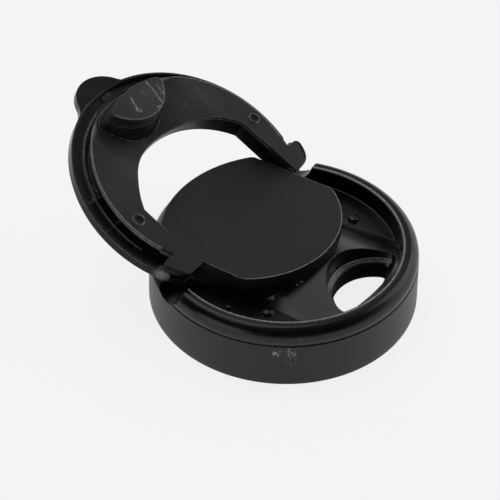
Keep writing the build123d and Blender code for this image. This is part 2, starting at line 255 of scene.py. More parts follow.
def arc(centre: Point, radius: float, start: float, end: float, step: float = FINE) -> list[Point]:
    """Points along an arc.

    Args:
        centre: centre of the arc.
        radius: its radius.
        start: first angle in degrees.
        end: last angle in degrees.
        step: greatest distance between two points.

    Returns:
        The points, both ends included.
    """
    sweep = math.radians(end - start)
    count = max(3, math.ceil(abs(sweep) * radius / step))
    first = math.radians(start)
    return [
        (
            centre[0] + radius * math.cos(first + sweep * i / count),
            centre[1] + radius * math.sin(first + sweep * i / count),
        )
        for i in range(count + 1)
    ]


def angle_of(point: Point, centre: Point) -> float:
    """Direction of a point seen from a centre, in degrees."""
    return math.degrees(math.atan2(point[1] - centre[1], point[0] - centre[0]))


def meeting(c1: Point, r1: float, c2: Point, r2: float, side: int) -> Point:
    """Where two circles meet.

    Args:
        c1: centre of the first circle.
        r1: its radius.
        c2: centre of the second circle.
        r2: its radius.
        side: 1 or -1, which of the two points.

    Returns:
        The chosen point.
    """
    dx, dy = c2[0] - c1[0], c2[1] - c1[1]
    dist = math.hypot(dx, dy)
    along = (r1 * r1 - r2 * r2 + dist * dist) / (2 * dist)
    off = math.sqrt(max(0.0, r1 * r1 - along * along)) * side
    return (
        c1[0] + along * dx / dist - off * dy / dist,
        c1[1] + along * dy / dist + off * dx / dist,
    )


def softened(points: Sequence[Point], corner: int, radius: float, steps: int = 8) -> list[Point]:
    """Replace the stretch round one corner of a dense outline by a smooth curve.

    Args:
        points: closed outline.
        corner: index of the corner's point.
        radius: length taken off on either side.
        steps: points of the new curve.

    Returns:
        The new closed outline.
    """
    count = len(points)

    def walk(direction: int) -> tuple[int, Point]:
        """Go from the corner as far as the radius, to the next point kept and the place reached."""
        left, i = radius, corner
        while True:
            j = (i + direction) % count
            leg = math.dist(points[i], points[j])
            if leg >= left:
                t = left / leg
                here = tuple(a + (b - a) * t for a, b in zip(points[i], points[j]))
                return j, here
            left -= leg
            i = j

    after, first = walk(1)
    before, last = walk(-1)
    tip = points[corner]
    curve = []
    for i in range(steps + 1):
        t = i / steps
        curve.append(
            tuple(
                (1 - t) ** 2 * a + 2 * t * (1 - t) * b + t**2 * c
                for a, b, c in zip(last, tip, first)
            )
        )
    kept = []
    i = after
    while i != before:
        kept.append(points[i])
        i = (i + 1) % count
    kept.append(points[before])
    return curve + kept


def lens(radius: float, front: float, corner: float, grow: float = 0.0) -> list[Point]:
    """Outline of the pour hole or plug: a circle cut off by the rim's own curve.

    Args:
        radius: radius of the circle.
        front: radius of the front curve, about the lid's axis.
        corner: how far the two corners are rounded.
        grow: added to both radii.

    Returns:
        The closed outline, always with the same number of points.
    """
    centre = (0.0, -SIZES.pour_centre)
    big, small = front + grow, radius + grow
    right = meeting((0.0, 0.0), big, centre, small, 1)
    left = (-right[0], right[1])
    if right[0] < 0:
        right, left = left, right
    start = angle_of(right, centre)
    upper = resample(arc(centre, small, start, 180 - start), 96)
    a_left = angle_of(left, (0.0, 0.0))
    a_right = angle_of(right, (0.0, 0.0))
    lower = resample(arc((0.0, 0.0), big, a_left, a_right), 64)
    outline = upper + lower[1:-1]
    outline = softened(outline, 0, corner)
    index = min(range(len(outline)), key=lambda i: math.dist(outline[i], left))
    return resample(softened(outline, index, corner), 200, closed=True)


def resample(points: Sequence[Point], count: int, closed: bool = False) -> list[Point]:
    """The same line with evenly spread points.

    Args:
        points: line or closed outline.
        count: number of points wanted.
        closed: whether the last point joins the first.

    Returns:
        The new points.
    """
    line = list(points) + ([points[0]] if closed else [])
    along = [0.0]
    for a, b in zip(line, line[1:]):
        along.append(along[-1] + math.dist(a, b))
    total = along[-1]
    result = []
    seg = 0
    for i in range(count):
        want = total * i / (count if closed else count - 1)
        while seg < len(line) - 2 and along[seg + 1] < want:
            seg += 1
        leg = along[seg + 1] - along[seg]
        t = 0.0 if leg == 0 else (want - along[seg]) / leg
        result.append(
            (
                line[seg][0] + (line[seg + 1][0] - line[seg][0]) * t,
                line[seg][1] + (line[seg + 1][1] - line[seg][1]) * t,
            )
        )
    return result


def bell(half: float, foot: float, rise: float, power: float, base: float) -> list[Point]:
    """Profile under the bell-shaped mound line, across the lid, as (x, z).

    Args:
        half: half the mound's width.
        foot: height of its two feet.
        rise: height of the crest over the feet.
        power: how broad its shoulders are.
        base: height of the profile's straight lower side.

    Returns:
        The closed outline.
    """
    count = 96
    soft = 0.16
    line = []
    for i in range(count + 1):
        x = half - 2 * half * i / count
        t = (1 + math.cos(math.pi * x / half)) / 2
        line.append((x, foot + rise * t**power * min(1.0, t / soft) ** 0.35))
    return [(-half, base), (half, base)] + line


# Node trees


class NodeTree:
    """Short way to build a tree of nodes."""

    def __init__(self, tree: bpy.types.NodeTree, output: str = "ShaderNodeOutputMaterial") -> None:
        """Clear a tree and start with its output."""
        self.tree = tree
        self.tree.nodes.clear()
        self.output = self.tree.nodes.new(output)

    def put(self, socket: Socket, value: object) -> None:
        """Let an input follow a socket or hold a plain value."""
        if isinstance(value, Socket):
            self.tree.links.new(value, socket)
        elif value is not None:
            socket.default_value = value

    def add(
        self, kind: str, inputs: dict[str, object] | None = None, **settings: object
    ) -> bpy.types.Node:
        """Add a node with its settings and what goes into its inputs."""
        node = self.tree.nodes.new(kind)
        for key, value in settings.items():
            setattr(node, key, value)
        for key, value in (inputs or {}).items():
            self.put(node.inputs[key], value)
        return node

    def link(self, a: Socket, b: Socket) -> None:
        """Join two sockets."""
        self.tree.links.new(a, b)

    def math(self, operation: str, a: object, b: object = None, clamp: bool = False) -> Socket:
        """A math node on sockets or numbers."""
        node = self.add("ShaderNodeMath", operation=operation, use_clamp=clamp)
        for socket, value in zip(node.inputs, (a, b)):
            self.put(socket, value)
        return node.outputs[0]

    def vector(self, operation: str, a: object, b: object) -> Socket:
        """A vector math node on sockets or vectors."""
        node = self.add("ShaderNodeVectorMath", operation=operation)
        for socket, value in zip(node.inputs, (a, b)):
            self.put(socket, value)
        return node.outputs["Value" if operation in ("DISTANCE", "DOT_PRODUCT") else "Vector"]

    def xyz(self, x: object, y: object, z: object) -> Socket:
        """A vector from its parts."""
        node = self.add("ShaderNodeCombineXYZ")
        for socket, value in zip(node.inputs, (x, y, z)):
            self.put(socket, value)
        return node.outputs[0]

    def split(self, vector: Socket) -> tuple[Socket, ...]:
        """The X, Y and Z of a vector."""
        parts = self.add("ShaderNodeSeparateXYZ")
        self.link(vector, parts.inputs[0])
        return tuple(parts.outputs[axis] for axis in "XYZ")

    def hypot(self, a: Socket, b: Socket) -> Socket:
        """Length of a vector with two parts."""
        total = self.math("ADD", self.math("MULTIPLY", a, a), self.math("MULTIPLY", b, b))
        return self.math("SQRT", total)

    def below(self, value: Socket, limit: float) -> Socket:
        """1 where a length is under a limit in millimetres, and 0 elsewhere."""
        return self.math("LESS_THAN", value, limit * MM)

    def above(self, value: Socket, limit: float) -> Socket:
        """1 where a length is over a limit in millimetres, and 0 elsewhere."""
        return self.math("GREATER_THAN", value, limit * MM)

    def fold(self, operation: str, values: Iterable[Socket]) -> Socket:
        """One math operation over several sockets."""
        first, *others = values
        for other in others:
            first = self.math(operation, first, other)
        return first

    def noise(self, coords: Socket, size: float, detail: float, rough: float = 0.55) -> Socket:
        """Noise whose features are about a size in millimetres."""
        inputs = {"Vector": coords, "Scale": 1.0 / (size * MM), "Detail": detail}
        return self.add("ShaderNodeTexNoise", {**inputs, "Roughness": rough}).outputs["Fac"]

    def ramp(
        self, value: Socket, low: float, high: float, out_low: float, out_high: float
    ) -> Socket:
        """Map a value from one range to another, held at the ends."""
        inputs = {"Value": value, "From Min": low, "From Max": high, "To Min": out_low}
        node = self.add("ShaderNodeMapRange", {**inputs, "To Max": out_high}, clamp=True)
        return node.outputs["Result"]

    def mix(self, factor: Socket, a: object, b: object) -> Socket:
        """Blend two colours."""
        inputs = {"Factor": factor, "A": a, "B": b}
        return self.add("ShaderNodeMix", inputs, data_type="RGBA").outputs["Result"]

    def mix_shaders(self, factor: object, plain: Socket, other: Socket) -> Socket:
        """Blend two shaders."""
        node = self.add("ShaderNodeMixShader", {"Fac": factor})
        self.link(plain, node.inputs[1])
        self.link(other, node.inputs[2])
        return node.outputs[0]


def material_tree(name: str) -> tuple[bpy.types.Material, NodeTree]:
    """A new material with its empty tree."""
    material = bpy.data.materials.new(name)
    material.use_nodes = True
    return material, NodeTree(material.node_tree)


# Solids


def mesh_object(
    name: str, verts: Iterable[Sequence[float]], faces: Iterable[Sequence[int]]
) -> Object:
    """A mesh object from millimetre points, with its normals outwards."""
    mesh = bpy.data.meshes.new(name)
    mesh.from_pydata([Vector(v) * MM for v in verts], [], list(faces))
    bm = bmesh.new()
    bm.from_mesh(mesh)
    bmesh.ops.remove_doubles(bm, verts=bm.verts, dist=1e-8)
    bmesh.ops.recalc_face_normals(bm, faces=bm.faces)
    bm.to_mesh(mesh)
    bm.free()
    obj = bpy.data.objects.new(name, mesh)
    bpy.context.scene.collection.objects.link(obj)
    return obj


def revolve(name: str, profile: Sequence[Point], segments: int = 256) -> Object:
    """Solid of revolution about Z from a closed (r, z) profile."""
    verts: list[Place] = []
    index: list[list[int]] = []
    for r, z in profile:
        if r < 1e-6:
            index.append([len(verts)] * segments)
            verts.append((0.0, 0.0, z))
            continue
        row = []
        for i in range(segments):
            t = 2 * math.pi * (i + 0.5) / segments
            row.append(len(verts))
            verts.append((r * math.cos(t), r * math.sin(t), z))
        index.append(row)
    faces = []
    for a, b in zip(index, index[1:] + index[:1]):
        for i in range(segments):
            j = (i + 1) % segments
            loop = [a[i], a[j], b[j], b[i]]
            unique = list(dict.fromkeys(loop))
            if len(unique) > 2:
                faces.append(unique)
    return mesh_object(name, verts, faces)


def skin(name: str, rings: Sequence[tuple[Sequence[Point], float]]) -> Object:
    """Solid through outlines of equal length at given heights, closed at both ends."""
    count = len(rings[0][0])
    verts = [(x, y, z) for outline, z in rings for x, y in outline]
    last = count * (len(rings) - 1)
    faces = [list(range(count)), list(range(last, last + count))]
    for low in range(0, last, count):
        for i in range(count):
            j = (i + 1) % count
            faces.append([low + i, low + j, low + count + j, low + count + i])
    return mesh_object(name, verts, faces)


def prism(name: str, outline: Sequence[Point], low: float, high: float) -> Object:
    """Straight prism between two heights."""
    return skin(name, [(outline, low), (outline, high)])


def bar(name: str, outline: Sequence[Point], start: float, end: float, along: str = "Y") -> Object:
    """Prism of an (x, z) outline drawn out along Y, or of a (y, z) outline along X."""
    count = len(outline)
    if along == "Y":
        verts = [(across, far, z) for far in (start, end) for across, z in outline]
    else:
        verts = [(far, across, z) for far in (start, end) for across, z in outline]
    faces = [list(range(count)), list(range(count, 2 * count))]
    faces += [[i, (i + 1) % count, count + (i + 1) % count, count + i] for i in range(count)]
    return mesh_object(name, verts, faces)


def beam(name: str, outline: Sequence[Point], ends: Sequence[float]) -> Object:
    """Prism of a (y, z) outline, drawn out along X."""
    return bar(name, outline, *sorted(ends), along="X")


def disc(name: str, radius: float, low: float, high: float, coarse: bool = False) -> Object:
    """Upright round bar about the lid's axis."""
    end, step = (359, 0.5) if coarse else (359.5, FINE)
    return prism(name, arc((0.0, 0.0), radius, 0, end, step), low, high)


def box(x0: float, x1: float, y0: float, y1: float) -> list[Point]:
    """Rectangle as an outline."""
    return [(x0, y0), (x1, y0), (x1, y1), (x0, y1)]


@dataclass(frozen=True)
class Spokes:
    """Bars that stand round an upright axis at even angles.

    Attributes:
        count: how many.
        first: angle of the first bar, in degrees.
        step: angle from one bar to the next, in degrees.
        inner: radius at which they begin, in millimetres.
        outer: radius at which they end, in millimetres.
        width: how wide they are, in millimetres.
        low: height of the lower face, in millimetres.
        high: height of the upper face, in millimetres.
    """

    count: int
    first: float
    step: float
    inner: float
    outer: float
    width: float
    low: float
    high: float

    def inputs(self, material: bpy.types.Material) -> dict[str, object]:
        """Values of the tree's named inputs, in metres and radians."""
        return {
            "Count": self.count,
            "First angle": math.radians(self.first),
            "Angle step": math.radians(self.step),
            "Inner radius": self.inner * MM,
            "Outer radius": self.outer * MM,
            "Width": self.width * MM,
            "Low": self.low * MM,
            "High": self.high * MM,
            "Material": material,
        }


SPOKE_INPUTS = {
    "Count": "Int",
    "First angle": "Float",
    "Angle step": "Float",
    "Inner radius": "Float",
    "Outer radius": "Float",
    "Width": "Float",
    "Low": "Float",
    "High": "Float",
    "Material": "Material",
}


def spokes_tree() -> bpy.types.GeometryNodeTree:
    """Geometry Nodes tree that sets bars round an upright axis, made once."""
    if "spokes" in bpy.data.node_groups:
        return bpy.data.node_groups["spokes"]
    tree = bpy.data.node_groups.new("spokes", "GeometryNodeTree")
    for name, kind in SPOKE_INPUTS.items():
        tree.interface.new_socket(name, in_out="INPUT", socket_type=f"NodeSocket{kind}")
    tree.interface.new_socket("Geometry", in_out="OUTPUT", socket_type="NodeSocketGeometry")
    nodes = NodeTree(tree, "NodeGroupOutput")
    given = nodes.add("NodeGroupInput").outputs
    inner, outer, low, high = (given[k] for k in ("Inner radius", "Outer radius", "Low", "High"))

    def middle(a: Socket, b: Socket) -> Socket:
        """Half-way between two numbers."""
        return nodes.math("MULTIPLY", nodes.math("ADD", a, b), 0.5)

    length = nodes.math("SUBTRACT", outer, inner)
    size = nodes.xyz(length, given["Width"], nodes.math("SUBTRACT", high, low))
    cube = nodes.add("GeometryNodeMeshCube", {"Size": size}).outputs["Mesh"]
    shift = nodes.xyz(middle(outer, inner), None, middle(high, low))
    one = nodes.add("GeometryNodeTransform", {"Geometry": cube, "Translation": shift})
    line = {"Count": given["Count"], "Offset": (0.0, 0.0, 0.0)}
    points = nodes.add("GeometryNodeMeshLine", line).outputs["Mesh"]
    index = nodes.add("GeometryNodeInputIndex").outputs["Index"]
    angle = nodes.math("MULTIPLY", index, given["Angle step"])
    angle = nodes.math("ADD", angle, given["First angle"])
    turn = nodes.add("FunctionNodeAxisAngleToRotation", {"Axis": (0.0, 0.0, 1.0), "Angle": angle})
    copies = {"Points": points, "Instance": one.outputs[0], "Rotation": turn.outputs[0]}
    placed = nodes.add("GeometryNodeInstanceOnPoints", copies).outputs[0]
    real = nodes.add("GeometryNodeRealizeInstances", {"Geometry": placed}).outputs[0]
    dressing = {"Geometry": real, "Material": given["Material"]}
    dressed = nodes.add("GeometryNodeSetMaterial", dressing).outputs[0]
    nodes.link(dressed, nodes.output.inputs["Geometry"])
    return tree


def spokes(name: str, sizes: Spokes, material: bpy.types.Material) -> Object:
    """Bars round an upright axis, made by the Geometry Nodes tree and turned into a plain mesh.

    Args:
        name: name of the object.
        sizes: what goes into the tree.
        material: material that the tree sets.

    Returns:
        An object with a plain mesh and no modifier.
    """
    obj = bpy.data.objects.new(name, bpy.data.meshes.new(name))
    bpy.context.scene.collection.objects.link(obj)
    mod = obj.modifiers.new("spokes", "NODES")
    mod.node_group = spokes_tree()
    items = mod.node_group.interface.items_tree
    sockets = {item.name: item.identifier for item in items if item.in_out == "INPUT"}
    for key, value in sizes.inputs(material).items():
        mod[sockets[key]] = value
    obj.update_tag()
    mesh = replace_mesh(obj, mod)
    LOG.info("%s: %d bars, %d faces", name, sizes.count, len(mesh.polygons))
    return obj


def replace_mesh(obj: Object, mod: bpy.types.Modifier) -> bpy.types.Mesh:
    """Turn an object's modifier into its plain mesh."""
    graph = bpy.context.evaluated_depsgraph_get()
    mesh = bpy.data.meshes.new_from_object(obj.evaluated_get(graph))
    obj.modifiers.remove(mod)
    old = obj.data
    obj.data = mesh
    bpy.data.meshes.remove(old)
    return mesh


def combine(target: Object, tool: Object, how: Op) -> Object:
    """Join, cut or keep the common part of two solids; the tool is used up.

    Args:
        target: the solid that is changed.
        tool: the other solid.
        how: what to do.

    Returns:
        The changed target.
    """
    mod = target.modifiers.new("combine", "BOOLEAN")
    mod.operation = how.value
    mod.solver = "MANIFOLD"
    mod.object = tool
    replace_mesh(target, mod)
    tool_mesh = tool.data
    bpy.data.objects.remove(tool)
    bpy.data.meshes.remove(tool_mesh)
    return target


def kept(solid: Object, start: float, end: float) -> Object:
    """Keep only what of a solid lies between two places along Y."""
    slab = prism("slab", box(-WIDE, WIDE, start, end), 0.0, TALL + 20.0)
    return combine(solid, slab, Op.KEEP)


def hoop(outer: float, inner: float, low: float, high: float) -> Object:
    """Upright round wall about the lid's axis."""
    return combine(disc("hoop", outer, low, high), disc("inner", inner, 0.0, TALL), Op.CUT)


def smooth(obj: Object, angle: float = 32.0) -> Object:
    """Shade a solid smooth, with edges sharper than an angle kept sharp."""
    bm = bmesh.new()
    bm.from_mesh(obj.data)
    bmesh.ops.remove_doubles(bm, verts=bm.verts, dist=2e-6)
    bmesh.ops.dissolve_degenerate(bm, edges=bm.edges, dist=1e-6)
    bm.to_mesh(obj.data)
    bm.free()
    obj.data.shade_smooth()
    obj.data.set_sharp_from_angle(angle=math.radians(angle))
    return obj


def opened(obj: Object) -> Object:
    """Turn a ring piece from the closed place, where it is drawn, to the open one."""
    hinge = Vector((0.0, SIZES.hinge_y, SIZES.hinge_z)) * MM
    turn = Matrix.Rotation(math.radians(-SIZES.open_angle), 4, "X")
    obj.data.transform(Matrix.Translation(hinge) @ turn @ Matrix.Translation(-hinge))
    return obj


# Finishes


@dataclass(frozen=True)
class Scuff:
    """A patch of scratches or specks.

    Attributes:
        centre: its middle, in millimetres, in the row frame.
        radius: its reach.
        strength: how pale it is.
    """

    centre: Place
    radius: float
    strength: float


@dataclass(frozen=True)
class Streak:
    """A pale line from one place to another, for scratches and for painted highlight streaks.

    Attributes:
        start: first end, in millimetres, in the row frame.
        end: other end.
        width: how wide it is.
        strength: how pale it is.
    """

    start: Place
    end: Place
    width: float
    strength: float


@dataclass(frozen=True)
class WearAndHighlightRing:
    """A pale line round an upright axis, or a spot where it has no radius: worn marks, and painted
    highlights and sheen.

    Attributes:
        centre: the axis, as (x, y), in millimetres.
        radius: radius of the line.
        height: its height.
        width: how far the pale line reaches from it.
        strength: how pale it is.
        within: how far from the lid's axis it reaches.
    """

    centre: Point
    radius: float
    height: float
    width: float
    strength: float
    within: float = 100.0


@dataclass(frozen=True)
class Finish:
    """A moulded or rubber surface.

    Attributes:
        name: material name.
        colour: linear base colour.
        roughness: mean roughness.
        spread: how much the roughness varies.
        grain: size of the surface grain, in millimetres.
        relief: height of the grain, in millimetres.
        edge: radius at which sharp edges look rounded, in millimetres.
        scuffs: worn patches.
        specular: strength of the reflection.
        edge_wear_and_glint: how pale the sharp edges are painted, for worn edges and painted edge
            highlights.
        satin_below: height under which the outer wall is satin, in millimetres, or 0.
        streaks: pale lines, for scratches and for painted highlight streaks.
        rings: pale lines round an axis, both worn lines and painted highlight lines.
        joint: whether the joint beside the ears is kept free of the pale edges.
        ring_part: whether it is on the ring, where the pale lines are placed with the ring closed.
    """

    name: str
    colour: Place
    roughness: float
    spread: float = 0.06
    grain: float = 0.35
    relief: float = 0.004
    edge: float = 0.25
    scuffs: tuple[Scuff, ...] = ()
    specular: float = 0.5
    edge_wear_and_glint: float = 0.30
    satin_below: float = 0.0
    streaks: tuple[Streak, ...] = ()
    rings: tuple[WearAndHighlightRing, ...] = ()
    joint: bool = False
    ring_part: bool = False


def scuff_mask(nodes: NodeTree, coords: Socket, scuffs: Sequence[Scuff]) -> Socket:
    """How scuffed each point is, from 0 to 1."""
    near = []
    for scuff in scuffs:
        away = nodes.vector("DISTANCE", coords, Vector(scuff.centre) * MM)
        near.append(nodes.ramp(away, 0.0, scuff.radius * MM, scuff.strength, 0.0))
    crisp = nodes.ramp(nodes.noise(coords, 0.9, 4.0, 0.75), 0.54, 0.62, 0.0, 1.0)
    return nodes.math("MULTIPLY", nodes.fold("MAXIMUM", near), crisp, clamp=True)


def edge_wear_and_glint_mask(nodes: NodeTree, coords: Socket, rounded: Socket) -> Socket:
    """Where sharp edges are painted pale, for worn edges and painted edge highlights: the rounded
    normal leaves the true one there.
    """
    true = nodes.add("ShaderNodeNewGeometry").outputs["Normal"]
    edge = nodes.ramp(nodes.vector("DOT_PRODUCT", rounded, true), 0.86, 0.985, 1.0, 0.0)
    patchy = nodes.ramp(nodes.noise(coords, 2.2, 4.0, 0.75), 0.40, 0.62, 0.12, 1.0)
    return nodes.math("MULTIPLY", edge, patchy, clamp=True)


def streak_mask(nodes: NodeTree, coords: Socket, streaks: Sequence[Streak]) -> Socket:
    """Pale streaks along straight lines, broken up by noise: scratches and painted highlight
    streaks.
    """
    near = []
    for streak in streaks:
        start, end = Vector(streak.start) * MM, Vector(streak.end) * MM
        along = end - start
        local = nodes.vector("SUBTRACT", coords, start)
        share = nodes.vector("DOT_PRODUCT", local, along / along.length_squared)
        held = nodes.ramp(share, 0.0, 1.0, 0.0, 1.0)
        away = nodes.vector("DISTANCE", local, nodes.vector("MULTIPLY", along, held))
        width = streak.width * MM
        near.append(nodes.ramp(away, 0.2 * width, width, streak.strength, 0.0))
    broken = nodes.ramp(nodes.noise(coords, 1.2, 4.0, 0.7), 0.38, 0.58, 0.15, 1.0)
    return nodes.math("MULTIPLY", nodes.fold("MAXIMUM", near), broken, clamp=True)


def wear_and_highlight_ring_mask(nodes: NodeTree, coords: Socket, rings: Sequence[WearAndHighlightRing]) -> Socket:
    """Pale lines round upright axes, broken up by noise: worn lines, and painted highlight lines
    and sheen patches.
    """
    x, y, z = nodes.split(coords)
    from_axis = nodes.hypot(x, y)
    near = []
    for ring in rings:
        legs = [nodes.math("SUBTRACT", leg, v * MM) for leg, v in zip((x, y), ring.centre)]
        out = nodes.math("SUBTRACT", nodes.hypot(*legs), ring.radius * MM)
        far = nodes.hypot(out, nodes.math("SUBTRACT", z, ring.height * MM))
        width = ring.width * MM
        pale_line = nodes.ramp(far, 0.15 * width, width, ring.strength, 0.0)
        near.append(nodes.math("MULTIPLY", pale_line, nodes.below(from_axis, ring.within)))
    broken = nodes.ramp(nodes.noise(coords, 1.6, 5.0, 0.75), 0.36, 0.60, 0.30, 1.0)
    return nodes.math("MULTIPLY", nodes.fold("MAXIMUM", near), broken, clamp=True)


def closed_place(nodes: NodeTree, coords: Socket) -> Socket:
    """Where a point of the ring lies with the ring closed."""
    inputs = {
        "Vector": coords,
        "Center": (0.0, SIZES.hinge_y * MM, SIZES.hinge_z * MM),
        "Angle": math.radians(SIZES.open_angle),
    }
    return nodes.add("ShaderNodeVectorRotate", inputs, rotation_type="X_AXIS").outputs["Vector"]


def past_joint(nodes: NodeTree, coords: Socket) -> Socket:
    """Distance past the joint of the closing plate and the ears, towards the hinge, in metres."""
    turn = math.radians(SIZES.open_angle)
    along = Vector((0.0, math.cos(turn), -math.sin(turn)))
    joint = along.dot(Vector((0.0, *SIZES.hinge)) * MM) - SIZES.scoop_radius * MM
    return nodes.math("SUBTRACT", nodes.vector("DOT_PRODUCT", coords, along), joint)


def dull_parts(nodes: NodeTree, place: Socket) -> Socket:
    """1 on the plug's side and the flange's outer wall, which reflect little, 0 elsewhere."""
    s = SIZES
    x, y, z = nodes.split(place)
    from_hole = nodes.hypot(x, nodes.math("ADD", y, s.pour_centre * MM))
    from_axis = nodes.hypot(x, y)
    plug = (
        nodes.below(from_hole, s.plug_foot + 0.05),
        nodes.below(from_axis, s.plug_foot_front + 0.05),
        nodes.above(z, s.seal_bottom + 0.4),
        nodes.below(z, s.ring_top - s.flange_thickness),
    )
    reach = s.flange_radius * MM
    wall = (
        nodes.above(from_axis, s.flange_radius - 0.05),
        nodes.ramp(y, -0.85 * reach, -0.5 * reach, 0.0, 1.0),
        nodes.below(z, s.ring_top - 0.1),
    )
    return nodes.fold("MAXIMUM", (nodes.fold("MULTIPLY", part) for part in (plug, wall)))


def away_from_joint(nodes: NodeTree, coords: Socket) -> Socket:
    """0 beside the joint and 1 elsewhere."""
    gap = nodes.math("ABSOLUTE", past_joint(nodes, coords))
    return nodes.ramp(gap, 0.5 * MM, 0.8 * MM, 0.0, 1.0)


def ear_side(nodes: NodeTree, coords: Socket) -> Socket:
    """1 on the lower part of the ears and 0 on the rest of the ring."""
    height = nodes.split(closed_place(nodes, coords))[2]
    low = nodes.below(height, SIZES.block_bottom + 3.0)
    return nodes.math("MULTIPLY", low, nodes.above(past_joint(nodes, coords), 0.0))


def tube_wall(nodes: NodeTree, coords: Socket) -> Socket:
    """1 inside the pour tube, below its seat, and 0 elsewhere."""
    s = SIZES
    x, y, z = nodes.split(coords)
    within = (
        nodes.below(z, s.seat_height + 0.05),
        nodes.above(z, s.chute_bottom - 0.3),
        nodes.below(nodes.hypot(x, nodes.math("ADD", y, s.pour_centre * MM)), s.hole_radius + 0.6),
        nodes.below(nodes.hypot(x, y), s.hole_front + 0.4),
    )
    return nodes.fold("MULTIPLY", within)


def satin_wall(nodes: NodeTree, coords: Socket, height: float) -> Socket:
    """Roughness of the satin outer wall, and 0 elsewhere."""
    x, y, z = nodes.split(coords)
    wide = nodes.above(nodes.hypot(x, y), SATIN_FROM)
    wall = nodes.math("MULTIPLY", nodes.below(z, height), wide)
    return nodes.math("MULTIPLY", wall, SATIN_ROUGHNESS)


def wear_and_highlight_mask(nodes: NodeTree, coords: Socket, finish: Finish) -> Socket | None:
    """All of a finish's scuffs, streaks and pale lines as one mask, holding real worn marks and
    painted highlights.
    """
    masks = []
    if finish.scuffs:
        masks.append(scuff_mask(nodes, coords, finish.scuffs))
    if finish.streaks:
        masks.append(streak_mask(nodes, coords, finish.streaks))
    if finish.rings:
        place = closed_place(nodes, coords) if finish.ring_part else coords
        masks.append(wear_and_highlight_ring_mask(nodes, place, finish.rings))
    return nodes.fold("MAXIMUM", masks) if masks else None


def make_material(finish: Finish) -> bpy.types.Material:
    """Procedural material for a finish."""
    material, nodes = material_tree(finish.name)
    coords = nodes.add("ShaderNodeTexCoord").outputs["Object"]
    broad = nodes.noise(coords, 14.0, 4.0)
    low, high = finish.roughness - finish.spread, finish.roughness + finish.spread
    rough = nodes.ramp(broad, 0.3, 0.7, low, high)
    pale = tuple(min(1.0, c * 1.25) for c in finish.colour)
    tone = nodes.ramp(broad, 0.35, 0.75, 0.0, 1.0)
    colour = nodes.mix(tone, (*finish.colour, 1.0), (*pale, 1.0))
    wear_and_highlight = wear_and_highlight_mask(nodes, coords, finish)
    if wear_and_highlight is not None:
        # Mix in the pale grey: worn marks, and painted highlights and sheen where the lines and
        # spots stand for light.
        colour = nodes.mix(wear_and_highlight, colour, WEAR_AND_HIGHLIGHT)
        rough = nodes.math("MAXIMUM", rough, nodes.math("MULTIPLY", wear_and_highlight, 0.8))
    shine: object = finish.specular
    if finish.satin_below:
        tube = tube_wall(nodes, coords)
        shine = nodes.ramp(tube, 0.0, 1.0, finish.specular, TUBE_SHINE)
        rough = nodes.math("MAXIMUM", rough, nodes.math("MULTIPLY", tube, 0.7))
        rough = nodes.math("MAXIMUM", rough, satin_wall(nodes, coords, finish.satin_below))
    if finish.ring_part:
        dull = dull_parts(nodes, closed_place(nodes, coords))
        shine = nodes.ramp(dull, 0.0, 1.0, finish.specular, DULL_SHINE)
    bevel = nodes.add("ShaderNodeBevel", {"Radius": finish.edge * MM}, samples=8)
    # Sharp edges painted pale: partly worn edges, partly painted edge highlights.
    edge_wear_and_glint_amount = edge_wear_and_glint_mask(nodes, coords, bevel.outputs["Normal"])
    if finish.joint:
        edge_wear_and_glint_amount = nodes.math("MULTIPLY", edge_wear_and_glint_amount, away_from_joint(nodes, coords))
        rough = nodes.math("MAXIMUM", rough, nodes.math("MULTIPLY", ear_side(nodes, coords), 0.5))
    relief = {
        "Strength": 1.0,
        "Distance": finish.relief * MM,
        "Height": nodes.noise(coords, finish.grain, 2.0),
        "Normal": bevel.outputs["Normal"],
    }
    # The base colour carries the pale edges: worn edges and painted edge highlights.
    surface = {
        "Specular IOR Level": shine,
        "Specular Tint": REFLECTION,
        "Base Color": nodes.mix(edge_wear_and_glint_amount, colour, (finish.edge_wear_and_glint, finish.edge_wear_and_glint, finish.edge_wear_and_glint, 1.0)),
        "Roughness": rough,
        "Normal": nodes.add("ShaderNodeBump", relief).outputs["Normal"],
    }
    shader = nodes.add("ShaderNodeBsdfPrincipled", surface)
    nodes.link(shader.outputs["BSDF"], nodes.output.inputs["Surface"])
    return material


def spots(*rows: tuple[float, float, float, float, float]) -> tuple[WearAndHighlightRing, ...]:
    """Pale spots, each from its x, y, height, reach and strength: worn specks, painted highlight
    spots and painted sheen patches.
    """
    return tuple(WearAndHighlightRing((x, y), 0.0, z, reach, pale) for x, y, z, reach, pale in rows)


